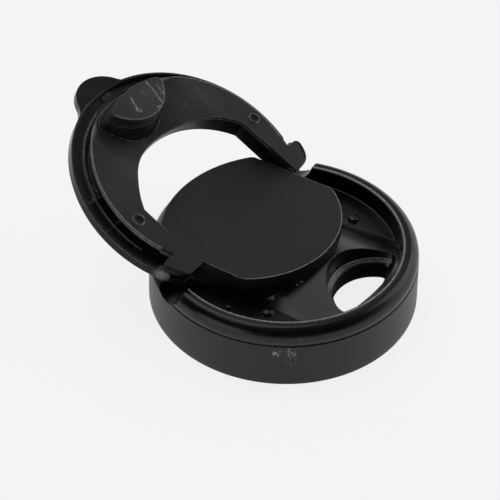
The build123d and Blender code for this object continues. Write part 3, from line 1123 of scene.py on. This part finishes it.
MOULDING = Finish(
    name="black moulding",
    colour=(0.0022, 0.0026, 0.0034),
    roughness=0.25,
    satin_below=17.7,
    scuffs=(
        Scuff((-44.0, -24.8, 14.8), 2.3, 3.0),
        Scuff((-42.0, -28.2, 16.3), 1.8, 1.2),
        Scuff((-41.0, -29.5, 14.3), 2.2, 1.8),
        Scuff((-41.4, -29.0, 10.6), 2.6, 0.6),
        Scuff((-24.0, -10.1, 18.1), 2.4, 3.0),
        Scuff((-14.9, -15.2, 20.9), 2.4, 2.0),
    ),
    rings=(
        # Painted highlight lines: two round the pour tube's seat and one along the rim's inner
        # edge.
        WearAndHighlightRing((0.0, -40.2), 18.1, 17.3, 0.45, 0.8, 43.0),
        WearAndHighlightRing((0.0, -40.2), 17.3, 16.7, 0.6, 0.5, 43.0),
        WearAndHighlightRing((0.0, 0.0), 44.2, 24.1, 0.45, 1.0),
        *spots(
            (-38.4, -30.8, 21.1, 0.45, 1.5),
            (-43.85, -24.4, 14.9, 0.8, 1.6),
            (-43.4, -25.2, 14.1, 0.5, 1.2),
            (-44.3, -23.5, 14.6, 0.4, 1.0),
            (-41.6, -28.0, 15.9, 0.6, 0.8),
            (-40.8, -29.2, 15.0, 0.6, 0.9),
            (-40.7, -29.4, 13.8, 0.5, 0.6),
            (-24.0, -10.1, 18.1, 0.8, 1.6),
            (-23.2, -9.0, 18.3, 0.5, 1.3),
        ),
    ),
)
SATIN_COVER = Finish(
    name="satin cover",
    colour=(0.0026, 0.0029, 0.0038),
    roughness=0.52,
    edge=0.36,
    edge_wear_and_glint=0.9,
    rings=(
        # Painted highlight lines along the cover's front and back top edges.
        WearAndHighlightRing((0.0, 17.5), 36.2, 27.7, 0.32, 0.9),
        WearAndHighlightRing((0.0, 0.0), 45.6, 27.7, 0.30, 0.4),
    ),
)
SATIN_PLATE = Finish(
    name="satin plate",
    colour=(0.0130, 0.0135, 0.0150),
    roughness=0.58,
    edge=0.3,
    edge_wear_and_glint=0.9,
    joint=True,
    ring_part=True,
    rings=(
        # Painted highlight along the plate's outer lower edge, and painted light over the shaded
        # wall above it.
        WearAndHighlightRing((0.0, 0.0), 41.3, 18.9, 0.30, 1.0),
        WearAndHighlightRing((0.0, 0.0), 41.3, 20.6, 1.7, 0.60),
        # Painted sheen: two broad faint pale patches on the plate, the stronger towards +x.
        *spots(
            (21.0, -21.0, 21.0, 16.0, 0.080),
            (-30.0, -14.0, 19.5, 15.0, 0.035),
        ),
    ),
)
SATIN_RING = Finish(
    name="satin ring",
    colour=(0.0030, 0.0033, 0.0041),
    roughness=0.24,
    edge_wear_and_glint=0.2,
    joint=True,
    ring_part=True,
    rings=(
        # Painted highlight lines along the underside rib and the flange's lip, and painted light
        # over the shaded block wall.
        WearAndHighlightRing((0.0, 0.0), 42.5, 24.3, 0.45, 0.40),
        WearAndHighlightRing((0.0, 0.0), 40.8, 21.0, 1.5, 0.50),
        WearAndHighlightRing((0.0, 0.0), 47.3, 24.5, 0.35, 0.40),
        # Painted highlight on the round end of the ear at -x.
        *spots(
            (-43.75, 19.0, 24.8, 3.6, 0.8),
        ),
    ),
    scuffs=(
        Scuff((-36.2, 58.1, 44.6), 2.5, 0.8),
        Scuff((-40.0, 56.1, 43.5), 2.5, 0.8),
        Scuff((2.6, 80.2, 56.3), 2.5, 0.7),
    ),
)
RUBBER = Finish(
    name="seal rubber",
    ring_part=True,
    colour=(0.022, 0.022, 0.023),
    # A pale line round the face's edge and a faint wide pale patch on the face.
    rings=(WearAndHighlightRing((0.0, -40.2), 15.6, 13.1, 0.40, 0.40), *spots((3.0, -33.0, 13.0, 12.0, 0.05))),
    roughness=0.5,
    edge=0.2,
    edge_wear_and_glint=0.12,
    scuffs=(
        Scuff((3.9, 64.6, 61.6), 3.0, 0.5),
        Scuff((8.5, 62.0, 60.3), 6.0, 0.25),
        Scuff((-3.8, 63.5, 61.0), 4.0, 0.25),
    ),
    # Streaks on the face: partly scratches, partly painted highlight streaks where the rubber
    # shines.
    streaks=(
        Streak((-2.9, 65.8, 62.3), (-4.9, 61.3, 59.8), 0.7, 0.6),
        Streak((-4.9, 61.3, 59.8), (-4.0, 60.8, 59.5), 1.1, 0.7),
        Streak((7.9, 67.0, 62.9), (7.4, 63.6, 61.1), 0.6, 0.6),
        Streak((7.4, 63.6, 61.1), (5.8, 57.6, 57.9), 0.6, 0.5),
        Streak((10.5, 64.0, 61.3), (8.6, 57.4, 57.8), 0.45, 0.4),
        Streak((2.8, 57.9, 58.1), (4.6, 57.4, 57.8), 0.8, 0.45),
        Streak((12.4, 63.0, 60.8), (9.0, 59.5, 58.9), 0.4, 0.3),
    ),
)


# Pieces


@dataclass
class Piece:
    """One visible piece that stands for a CAD node.

    Attributes:
        node: CAD node that it replaces.
        body: body that it rides on.
        slot: material slot of the record; not used.
        finish: its surface.
    """

    node: str
    body: Body
    slot: Slot
    finish: Finish

    def shape(self) -> Object:
        """Build the solid. Each piece has its own."""
        raise NotImplementedError

    def build(self) -> Object:
        """Build the piece, dress it and hand it to the frame.

        Returns:
            The finished object.
        """
        obj = smooth(self.shape())
        obj.name = f"{self.node}_look"
        obj.data.materials.clear()
        obj.data.materials.append(material_for(self.finish))
        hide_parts(self.node)
        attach(obj, self.body.value)
        LOG.info("%s: %d faces", obj.name, len(obj.data.polygons))
        return obj


_materials: dict[str, bpy.types.Material] = {}


def material_for(finish: Finish) -> bpy.types.Material:
    """The material of a finish, made once."""
    if finish.name not in _materials:
        _materials[finish.name] = make_material(finish)
    return _materials[finish.name]


def mound_bar(name: str, foot: float, base: float, back: float) -> Object:
    """Bar under the pour mound's line, from the lid's front to a place behind it."""
    s = SIZES
    return bar(name, bell(s.mound_half, foot, s.mound_rise, s.mound_power, base), -TALL, back)


def bulge(
    centre: Point, wide: float, tall: float, parts: int, steps: Iterable[int]
) -> list[Point]:
    """Some points along an upright ellipse, which half a turn divides into equal parts."""
    turns = (step * math.pi / parts for step in steps)
    return [(centre[0] + wide * math.cos(t), centre[1] + tall * math.sin(t)) for t in turns]


def moved(obj: Object, x: float, y: float, z: float, tall: float = 1.0) -> Object:
    """Set a small turned shape at a place, made taller by a factor."""
    place = Matrix.Translation(Vector((x, y, z)) * MM)
    obj.data.transform(place @ Matrix.Diagonal((1, 1, tall, 1)))
    return obj


@dataclass
class LidBody(Piece):
    """The cap moulding: skirt, band, rim, deck, mound, pour hole and tube."""

    def profile(self) -> list[Point]:
        """Half section of the round part, as (r, z), anticlockwise."""
        s = SIZES
        inner = s.foot_radius - s.skirt_wall
        edge = s.shoulder_radius - s.seam
        wall = s.gasket_wall_height
        chord = math.dist((edge + s.seam / 2, s.shoulder_height), (s.rim_outer, s.rim_height))
        radius = (chord / 2) ** 2 / (2 * s.band_bulge) + s.band_bulge / 2
        mid = ((edge + s.seam / 2 + s.rim_outer) / 2, (s.shoulder_height + s.rim_height) / 2)
        tilt = math.atan2(s.rim_height - s.shoulder_height, s.rim_outer - edge - s.seam / 2)
        back = radius - s.band_bulge
        centre = (mid[0] - back * math.sin(tilt), mid[1] + back * math.cos(tilt))
        band = arc(
            centre,
            radius,
            angle_of((edge + s.seam / 2, s.shoulder_height), centre),
            angle_of((s.rim_outer, s.rim_height), centre),
        )
        under, step = s.deck_under, inner - s.skirt_step
        seam = s.shoulder_height - s.seam
        foot = arc((s.foot_radius - 0.45, 0.4), 0.4, -90, 0, 0.1)
        flare = s.shoulder_radius - s.foot_radius
        skirt = [(s.foot_radius + flare * t / 6, seam * t / 6) for t in range(1, 6)]
        fillet = arc((s.deck_radius - 0.7, s.deck_height + 0.7), 0.7, -90, 0, 0.12)
        return (
            [(0.0, under), (s.gasket_wall_inner, under)]
            + [(s.gasket_wall_inner, under - wall), (s.gasket_wall_outer, under - wall)]
            + [(s.gasket_wall_outer, under), (step, under)]
            + [(step, s.skirt_step_height), (inner, s.skirt_step_height), (inner, 0.0)]
            + foot
            + skirt
            + [(s.shoulder_radius, seam - 0.1), (s.shoulder_radius - 0.1, seam), (edge, seam)]
            + [(edge, s.shoulder_height)]
            + band
            + [(s.rim_outer - 0.4, s.rim_height), (s.rim_inner, s.rim_height)]
            + [(s.rim_inner - s.rim_chamfer, s.rim_height - s.rim_chamfer / 2)]
            + [(s.deck_radius + 0.25, s.deck_height + 3.0)]
            + fillet[::-1]
            + [(30.0, s.deck_height), (15.0, s.deck_height), (0.0, s.deck_height)]
        )

    def shape(self) -> Object:
        """Round part first, then the mound, the pour hole, the pockets and the marks."""
        s = SIZES
        body = revolve("lid_body", self.profile(), 320)
        mound = mound_bar("mound", s.deck_height - 0.02, s.deck_height - 1.0, -s.mound_back)
        within = disc("disc", s.deck_radius + 0.3, 0.0, TALL, coarse=True)
        combine(body, combine(mound, within, Op.KEEP), Op.JOIN)
        self.hollow(body)
        self.pour_hole(body)
        self.pockets(body)
        self.marks(body)
        return body

    def hollow(self, body: Object) -> None:
        """Take out the space under the mound and the channel inside the rim."""
        s = SIZES
        under = mound_bar("under", s.deck_under, s.deck_under - 0.5, -s.mound_back - s.deck_wall)
        reach = disc("reach", s.gasket_wall_inner - s.deck_wall, 0.0, TALL, coarse=True)
        combine(under, reach, Op.KEEP)
        wall = s.hole_radius + s.seat_width + s.chute_flare + s.chute_wall
        chute = prism("chute", arc((0, -s.pour_centre), wall, 0, 359, 0.5), 0.0, TALL)
        combine(under, chute, Op.CUT)
        combine(body, under, Op.CUT)

    def pour_hole(self, body: Object) -> None:
        """Add the tube and cut the hole, its seat and the flared wall."""
        s = SIZES
        hole, tube, seat, top = (
            lens(s.hole_radius, s.hole_front, s.hole_corner, grow)
            for grow in (0.0, s.chute_wall, s.seat_width, s.seat_width + s.chute_flare * 1.2)
        )
        combine(body, prism("tube", tube, s.chute_bottom, s.seat_height - 0.5), Op.JOIN)
        steps = [(hole, s.chute_bottom - 1.0), (hole, s.seat_height)]
        steps += [(seat, s.seat_height + s.seat_rise), (top, s.rim_height + 2.0)]
        combine(body, skin("cutter", steps), Op.CUT)

    def pockets(self, body: Object) -> None:
        """Cut the cover's pocket and the scoops that the ears turn in."""
        s = SIZES
        pocket = prism("pocket", CoverShape.outline(s.pocket_gap), s.deck_height, TALL)
        combine(body, kept(pocket, s.mound_back, WIDE), Op.CUT)
        for side in (1, -1):
            span = (side * s.cover_half, side * WIDE)
            combine(body, beam("scoop", arc(s.hinge, s.scoop_radius, 0, 359, 0.3), span), Op.CUT)
            combine(body, beam("low", box(s.hinge_y, WIDE, s.shoulder_height, TALL), span), Op.CUT)

    def marks(self, body: Object) -> None:
        """Add the small round bosses and snaps on the deck."""
        s = SIZES
        boss = [(0.0, 0.0), (s.boss_radius, 0.0)]
        boss += bulge((0.0, 0.6), s.boss_radius, 0.9, 24, range(12)) + [(0.0, 1.5)]
        snap = [(0.0, 0.0), (s.snap_radius, 0.0), (s.snap_radius, 1.9)]
        snap += bulge((0.5, 1.9), s.snap_radius - 0.5, 0.6, 12, range(1, 7)) + [(0.0, 2.5)]
        for side in (1, -1):
            for name, half, segments, (x, y), tall in (
                ("boss", boss, 40, s.boss, 1.15),
                ("snap", snap, 32, s.snap, 1.0),
            ):
                mark = revolve(name, half, segments)
                moved(mark, side * x, y, s.deck_height - s.mark_sink, tall)
                combine(body, mark, Op.JOIN)


@dataclass
class CoverShape(Piece):
    """The raised centre cover."""

    @staticmethod
    def outline(grow: float = 0.0, corner: float = 0.0) -> list[Point]:
        """Outline of the cover, anticlockwise, grown by a gap."""
        s = SIZES
        half = s.cover_half + grow
        back, front = s.cover_back + grow, s.cover_front + grow
        rear = math.degrees(math.acos(half / back))
        fore = math.degrees(math.acos(half / front))
        shape = arc((0.0, 0.0), back, rear, 180 - rear, 0.5)
        shape += arc((0.0, s.cover_centre), front, 180 + fore, 360 - fore, 0.5)
        corners = [(half, back * math.sin(math.radians(rear)))]
        corners += [(-half, corners[0][1])]
        low = s.cover_centre - front * math.sin(math.radians(fore))
        corners += [(-half, low), (half, low)]
        dense = resample(shape, 900, closed=True)
        if corner <= 0:
            return dense
        for tip in corners:
            index = min(range(len(dense)), key=lambda i: math.dist(dense[i], tip))
            dense = softened(dense, index, corner)
        return resample(dense, 600, closed=True)

    def shape(self) -> Object:
        """Walls, a sharp top edge, the seat over the mound and the hinge bores."""
        s = SIZES
        line = self.outline(0.0, s.cover_corner)
        heights = (s.deck_height + 0.1, s.deck_height + 5.0, s.cover_top)
        cover = skin("cover", [(line, height) for height in heights])
        seat = mound_bar("seat", s.deck_height + 0.1, 0.0, -s.mound_back + 0.1)
        combine(cover, seat, Op.CUT)
        for side in (1, -1):
            span = (side * (s.cover_half - 3.6), side * (s.cover_half + 2.0))
            bore = beam("bore", arc(s.hinge, s.pin_radius + s.bore_clearance, 0, 350, 0.2), span)
            combine(cover, bore, Op.CUT)
        return cover


def ring_opening(grow: float = 0.0) -> list[Point]:
    """Outline of the space inside the ring, open at the hinge end."""
    s = SIZES
    half = s.ring_half + grow
    front = s.cover_front + s.ring_front_gap + grow
    fore = math.degrees(math.acos(half / front))
    shape = arc((0.0, s.cover_centre), front, 180 + fore, 360 - fore, 0.35)
    return shape + [(half, 70.0), (-half, 70.0)]


@dataclass
class RingCover(Piece):
    """Top shell of the ring: flange with its thumb tab, block, ears and stubs."""

    def flange_outline(self) -> list[Point]:
        """Outline of the round flange with the thumb tab blended into it."""
        s = SIZES
        tab = (0.0, -s.tab_centre)
        blend = s.tab_blend
        left = meeting((0.0, 0.0), s.flange_radius + blend, tab, s.tab_radius + blend, 1)
        if left[0] > 0:
            left = (-left[0], left[1])
        right = (-left[0], left[1])
        on_flange = angle_of(left, (0.0, 0.0)) % 360
        on_tab = angle_of(left, tab) % 360
        start = (540 - on_flange) % 360
        points = arc((0.0, 0.0), s.flange_radius, start - 360, on_flange, 0.5)
        points += arc(left, blend, (on_flange + 180) % 360, (on_tab + 180) % 360, 0.3)[1:]
        points += arc(tab, s.tab_radius, on_tab, 540 - on_tab, 0.3)[1:]
        points += arc(right, blend, (540 - on_tab + 180) % 360, (start + 180) % 360, 0.3)[1:-1]
        return points

    def sweep(self) -> list[Point]:
        """Side section of the flange, as (y, z), rising towards the tab."""
        s = SIZES
        tip = -s.tab_centre - s.tab_radius - 2.0
        start = -s.lift_start
        count = 24
        rise = []
        for i in range(count + 1):
            t = i / count
            rise.append((start + (tip - start) * t, s.tab_lift * 1.12 * t**1.7))
        bottom = s.ring_top - s.flange_thickness
        upper = [(y, s.ring_top + h) for y, h in rise]
        lower = [(y, bottom + h) for y, h in reversed(rise)]
        return [(70.0, bottom), (70.0, s.ring_top)] + upper + lower

    def shape(self) -> Object:
        """Flange and tab, block, ears, underside ribs and hinge stubs."""
        s = SIZES
        ring = prism("ring", self.flange_outline(), s.block_bottom, s.ring_top + 6.0)
        combine(ring, beam("sweep", self.sweep(), (-WIDE, WIDE)), Op.KEEP)
        low = s.ring_top - s.flange_thickness + 0.4
        block = disc("block", s.block_radius - s.plate_lap, s.plate_top, low)
        combine(ring, kept(block, -WIDE, s.ring_back + 0.2), Op.JOIN)
        combine(ring, self.ears(low), Op.JOIN)
        kept(ring, -WIDE, s.hinge_y + s.ear_end)
        self.underside(ring)
        combine(ring, prism("mouth", ring_opening(), 0.0, TALL), Op.CUT)
        arch = bell(s.plate_half, s.plate_top, s.ring_top - 2.2 - s.plate_top, s.plate_power, 0.0)
        combine(ring, bar("arch", arch, -WIDE, s.ring_back), Op.CUT)
        for side in (1, -1):
            span = (side * (s.ring_half + 0.5), side * (s.ring_half - 3.0))
            combine(ring, beam("stub", arc(s.hinge, s.pin_radius, 0, 350, 0.2), span), Op.JOIN)
        return opened(ring)

    def ears(self, low: float) -> Object:
        """The two ears that reach back to the hinge, with their webs and round wall ends.

        Args:
            low: height up to which the ears are filled.

        Returns:
            Both ears as one solid.
        """
        s = SIZES
        ears = kept(disc("ears", s.block_radius, s.block_bottom, low), s.ring_back, TALL)
        centre = (s.hinge_y - s.knob_forward, s.hinge_z - s.knob_drop)
        knob = arc(centre, s.knob_radius, 0, 355, 0.2)
        web_top = s.block_bottom + s.web_thickness
        for side in (1, -1):
            web = prism("web", self.web_outline(side), s.block_bottom, web_top)
            combine(ears, web, Op.JOIN)
            wall = hoop(s.flange_radius + s.knob_stand, s.flange_radius - s.knob_wall, 0.0, TALL)
            round_end = beam("knob", knob, (side * 30.0, side * 60.0))
            combine(ears, combine(round_end, wall, Op.KEEP), Op.JOIN)
        return ears

    @staticmethod
    def web_outline(side: int) -> list[Point]:
        """Outline of one thin web that stands out from its ear to the band's face."""
        s = SIZES
        front, end = s.hinge_y - s.web_forward, s.hinge_y + s.ear_end
        first = math.degrees(math.asin(front / s.web_radius))
        last = math.degrees(math.asin(end / s.web_radius))
        curve = resample(arc((0.0, 0.0), s.web_radius, first, last), 60)
        line = resample([(s.ring_half - 1.0, front), curve[0]], 60)[:-1] + curve
        line += resample([curve[-1], (s.ring_half - 1.0, end)], 60)[1:]
        for tip in (curve[0], curve[-1]):
            index = min(range(len(line)), key=lambda i: math.dist(line[i], tip))
            line = softened(line, index, s.web_round)
        return [(side * x, y) for x, y in line]

    def underside(self, ring: Object) -> None:
        """Thin lip, concentric rib and gussets under the flange."""
        s = SIZES
        under = s.ring_top - s.flange_thickness
        for outer, width, depth, end in (
            (s.flange_radius, s.lip_width, s.lip_depth, s.ring_back),
            (s.rib_radius + s.rib_width / 2, s.rib_width, s.rib_depth, 8.0),
        ):
            line = hoop(outer, outer - width, under - depth, under + 1.2)
            combine(ring, kept(line, -WIDE, end), Op.JOIN)
        root = s.block_radius - s.plate_lap - 0.3
        turn = s.gusset_last - s.gusset_first
        reaches = ((s.rib_radius, s.gusset_drop), (s.flange_radius - s.lip_width, s.lip_depth))
        for first, step in ((-s.gusset_first, -turn), (180 + s.gusset_first, turn)):
            for reach, drop in reaches:
                low, high = under - drop, under + 1.0
                sizes = Spokes(2, first, step, root, reach, s.gusset_width, low, high)
                combine(ring, spokes("gussets", sizes, material_for(self.finish)), Op.JOIN)
        nib = box(-s.nib_half, s.nib_half, -s.nib_outer, -s.nib_inner)
        combine(ring, prism("nib", nib, under - 0.7, under + 2.5), Op.JOIN)


@dataclass
class RingPlate(Piece):
    """Closing plate under the ring, with its channel, bosses and the plug's core."""

    def shape(self) -> Object:
        """Plate between two bell-shaped faces, then the core and the bosses."""
        s = SIZES
        roof = s.ring_top - 2.0
        plate = kept(disc("plate", s.block_radius, s.block_bottom, roof), -WIDE, s.ring_back - 0.02)
        top = s.plate_top - 0.05
        upper = bell(s.plate_half, top, roof - 0.25 - s.plate_top, s.plate_power, 0.0)
        wide = bar("wide", upper, -WIDE, 30.0)
        combine(wide, prism("flat", box(-WIDE, WIDE, -WIDE, 30.0), 0.0, top), Op.JOIN)
        combine(plate, wide, Op.KEEP)
        lower = bell(s.plate_half, s.block_bottom, s.plate_rise, s.plate_power, 0.0)
        combine(plate, bar("channel", lower, -WIDE, 30.0), Op.CUT)
        combine(plate, prism("mouth", ring_opening(), 0.0, TALL), Op.CUT)
        foot = lens(s.plug_foot, s.plug_foot_front, s.hole_corner)
        tip = lens(s.seal_radius, s.seal_front, s.hole_corner, s.seal_lip)
        core = skin("core", [(tip, s.seal_top), (foot, s.ring_top - 3.6), (foot, s.ring_top - 3.4)])
        combine(plate, core, Op.JOIN)
        low, high = s.block_bottom - 0.5, s.block_bottom + 0.5
        bowl = [(0.0, -1.0), (s.dimple_radius, -1.0), (s.dimple_radius, 0.0)]
        bowl += bulge((0.0, 0.0), s.dimple_radius, s.dimple_depth, 24, range(1, 12))
        for side in (1, -1):
            x, y = side * s.dimple[0], s.dimple[1]
            pad = arc((x, y), s.boss_radius, 0, 350, 0.2)
            combine(plate, prism("pad", pad, low, high), Op.JOIN)
            dimple = revolve("dimple", bowl + [(0.0, s.dimple_depth)], 48)
            combine(plate, moved(dimple, x, y, low), Op.CUT)
        return opened(plate)


@dataclass
class PlugSeal(Piece):
    """Rubber face of the plug."""

    def shape(self) -> Object:
        """Rounded face, straight side and the lip that meets the seat."""
        s = SIZES
        round_off = 0.45
        turns = [math.pi / 2 * i / 7 for i in range(8)]
        steps = [
            (-round_off * (1 - math.sin(t)), s.seal_bottom + round_off * (1 - math.cos(t)))
            for t in turns
        ]
        steps += [(0.0, s.seal_top - 1.0), (s.seal_lip, s.seal_top - 0.8), (s.seal_lip, s.seal_top)]
        size = (s.seal_radius, s.seal_front, s.hole_corner)
        return opened(skin("seal", [(lens(*size, grow), height) for grow, height in steps]))


# Studio


@dataclass(frozen=True)
class Shot:
    """The photograph's camera, found by fitting the lid's circles. Lengths in millimetres."""

    azimuth: float = -56.81
    elevation: float = 41.613
    roll: float = 0.2871
    shift_x: float = 12.521
    shift_y: float = -13.217
    distance: float = 447.32
    focal: float = 1170.85
    image: float = 500.0
    sensor: float = 36.0

    def place(self) -> Object:
        """Make the camera and set it as the scene's.

        Returns:
            The camera object.
        """
        a, e, r = (math.radians(v) for v in (self.azimuth, self.elevation, self.roll))
        back = Vector((math.sin(a) * math.cos(e), -math.cos(a) * math.cos(e), math.sin(e)))
        level = Vector((math.cos(a), math.sin(a), 0.0))
        upward = back.cross(level)
        right = math.cos(r) * level + math.sin(r) * upward
        up = -math.sin(r) * level + math.cos(r) * upward
        data = bpy.data.cameras.new("camera")
        data.sensor_width = self.sensor
        data.lens = self.focal / self.image * self.sensor
        data.clip_start, data.clip_end = 0.01, 20.0
        camera = bpy.data.objects.new("camera", data)
        spot = self.distance * back - self.shift_x * right - self.shift_y * up
        turn = Matrix((right, up, back)).transposed().to_4x4()
        camera.matrix_world = Matrix.Translation(spot * MM) @ turn
        bpy.context.scene.collection.objects.link(camera)
        bpy.context.scene.camera = camera
        return camera


@dataclass(frozen=True)
class Lamp:
    """A soft rectangular lamp aimed at the lid."""

    name: str
    place: Place
    size: tuple[float, float]
    power: float

    def hang(self) -> None:
        """Make the lamp."""
        data = bpy.data.lights.new(self.name, "AREA")
        data.shape = "RECTANGLE"
        data.size, data.size_y = (v * MM for v in self.size)
        data.energy = self.power
        lamp = bpy.data.objects.new(self.name, data)
        lamp.location = Vector(self.place) * MM
        aim = Vector((0.0, 0.0, 15.0)) * MM - lamp.location
        lamp.rotation_mode = "QUATERNION"
        lamp.rotation_quaternion = aim.to_track_quat("-Z", "Y")
        bpy.context.scene.collection.objects.link(lamp)


def white_where_seen(nodes: NodeTree, plain: Socket, white: Socket) -> Socket:
    """Mix in a white surface for the rays that look straight at it.

    Args:
        nodes: tree of the floor.
        plain: shader that lights the lid.
        white: shader that is seen.

    Returns:
        The mixed shader.
    """
    path = nodes.add("ShaderNodeLightPath").outputs
    seen = nodes.math("MAXIMUM", path["Is Camera Ray"], path["Is Transmission Ray"])
    mirrored = nodes.math("MULTIPLY", path["Is Glossy Ray"], 0.75)
    return nodes.mix_shaders(nodes.math("MAXIMUM", seen, mirrored), plain, white)


class Studio:
    """Pale floor, soft lamps and a plain world."""

    bright_side = Vector((0.95, 0.30, 0.0)).normalized()
    near_sky = ((0.0, 0.90), (0.12, 0.42), (0.27, 0.03), (0.6, 0.015), (1.0, 0.08))
    far_sky = ((0.0, 1.0), (0.36, 0.70), (0.58, 0.24), (0.75, 0.18), (1.0, 0.10))
    floor_half = 3000.0
    floor_height = -0.05

    def floor(self) -> None:
        """White floor under the lid, which keeps its shadow."""
        side, z = self.floor_half, self.floor_height
        corners = [(x, y, z) for x, y in box(-side, side, -side, side)]
        floor = mesh_object("floor", corners, [(0, 1, 2, 3)])
        material, nodes = material_tree("floor white")
        plain, shade = (
            nodes.add("ShaderNodeBsdfDiffuse", {"Color": (grey, grey, grey, 1.0)}).outputs[0]
            for grey in (0.80, 0.95)
        )
        glow = nodes.add("ShaderNodeEmission").outputs[0]
        seen = nodes.mix_shaders(0.84, shade, glow)
        nodes.link(white_where_seen(nodes, plain, seen), nodes.output.inputs["Surface"])
        floor.data.materials.append(material)
        floor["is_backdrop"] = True

    def world(self) -> None:
        """Soft light all round, bright at the horizon, dim above the camera, and seen as white."""
        world = bpy.data.worlds.new("studio")
        bpy.context.scene.world = world
        world.use_nodes = True
        nodes = NodeTree(world.node_tree, "ShaderNodeOutputWorld")
        coords = nodes.add("ShaderNodeTexCoord").outputs["Generated"]
        height = nodes.split(coords)[2]
        near, far = (self.sky(nodes, height, levels) for levels in (self.near_sky, self.far_sky))
        toward = nodes.vector("DOT_PRODUCT", coords, self.bright_side)
        reach = {"Value": toward, "From Min": -0.35, "From Max": 0.6}
        spread = nodes.add("ShaderNodeMapRange", reach, interpolation_type="SMOOTHSTEP")
        colour = nodes.mix(spread.outputs["Result"], near, far)
        plain = nodes.add("ShaderNodeBackground", {"Color": colour}).outputs[0]
        glow = nodes.add("ShaderNodeBackground", {"Color": (1.0, 1.0, 1.0, 1.0)}).outputs[0]
        seen = nodes.add("ShaderNodeLightPath").outputs["Is Camera Ray"]
        nodes.link(nodes.mix_shaders(seen, plain, glow), nodes.output.inputs["Surface"])

    @staticmethod
    def sky(nodes: NodeTree, height: Socket, levels: Sequence[Point]) -> Socket:
        """Brightness of the surroundings against height, a little blue where it is dim.

        Args:
            nodes: the world's tree.
            height: sine of the elevation.
            levels: pairs of height and brightness, rising in height.

        Returns:
            A colour socket.
        """
        ramp = nodes.add("ShaderNodeValToRGB", {"Fac": height})
        stops = ramp.color_ramp.elements
        while len(stops) < len(levels):
            stops.new(0.5)
        for stop, (place, level) in zip(stops, levels):
            stop.position = place
            blue = 1.0 + 0.16 * (1.0 - level)
            stop.color = (level, level * (1.0 + (blue - 1.0) / 2), level * blue, 1.0)
        return ramp.outputs["Color"]

    def build(self) -> None:
        """Make the whole studio."""
        self.floor()
        self.world()
        for lamp in LAMPS:
            lamp.hang()


LAMPS = (
    Lamp("top", (150.0, 450.0, 1200.0), (1000.0, 1000.0), 3.5),
    Lamp("side", (800.0, -500.0, 700.0), (700.0, 700.0), 1.5),
    Lamp("left", (-1000.0, 250.0, 350.0), (700.0, 400.0), 0.9),
)

PIECES = (
    LidBody("lid_body", Body.BASE, Slot.MOULDING, MOULDING),
    CoverShape("centre_cover", Body.BASE, Slot.COVER, SATIN_COVER),
    RingCover("ring_cover", Body.RING, Slot.RING, SATIN_RING),
    RingPlate("ring_plate", Body.RING, Slot.RING, SATIN_PLATE),
    PlugSeal("plug_seal", Body.RING, Slot.RUBBER, RUBBER),
)


def dress_node(node: Object, finish: Finish) -> None:
    """Give a CAD node that stays in view its finish."""
    node.data.materials.clear()
    node.data.materials.append(material_for(finish))


def note_sizes(before: tuple[Vector, Vector]) -> None:
    """Write the shown box before and after the finer pieces, for comparison."""
    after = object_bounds()
    shown = [[[round(c, 5) for c in corner] for corner in pair] for pair in (before, after)]
    LOG.info("box before %s and after %s", *shown)


def main() -> None:
    """Build the scene."""
    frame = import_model()
    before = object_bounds()
    for piece in PIECES:
        piece.build()
    dress_node(frame["nodes"]["neck_gasket"], RUBBER)
    Studio().build()
    Shot().place()
    bpy.context.scene.view_settings.view_transform = "Standard"
    note_sizes(before)


if __name__ == "__main__":
    main()
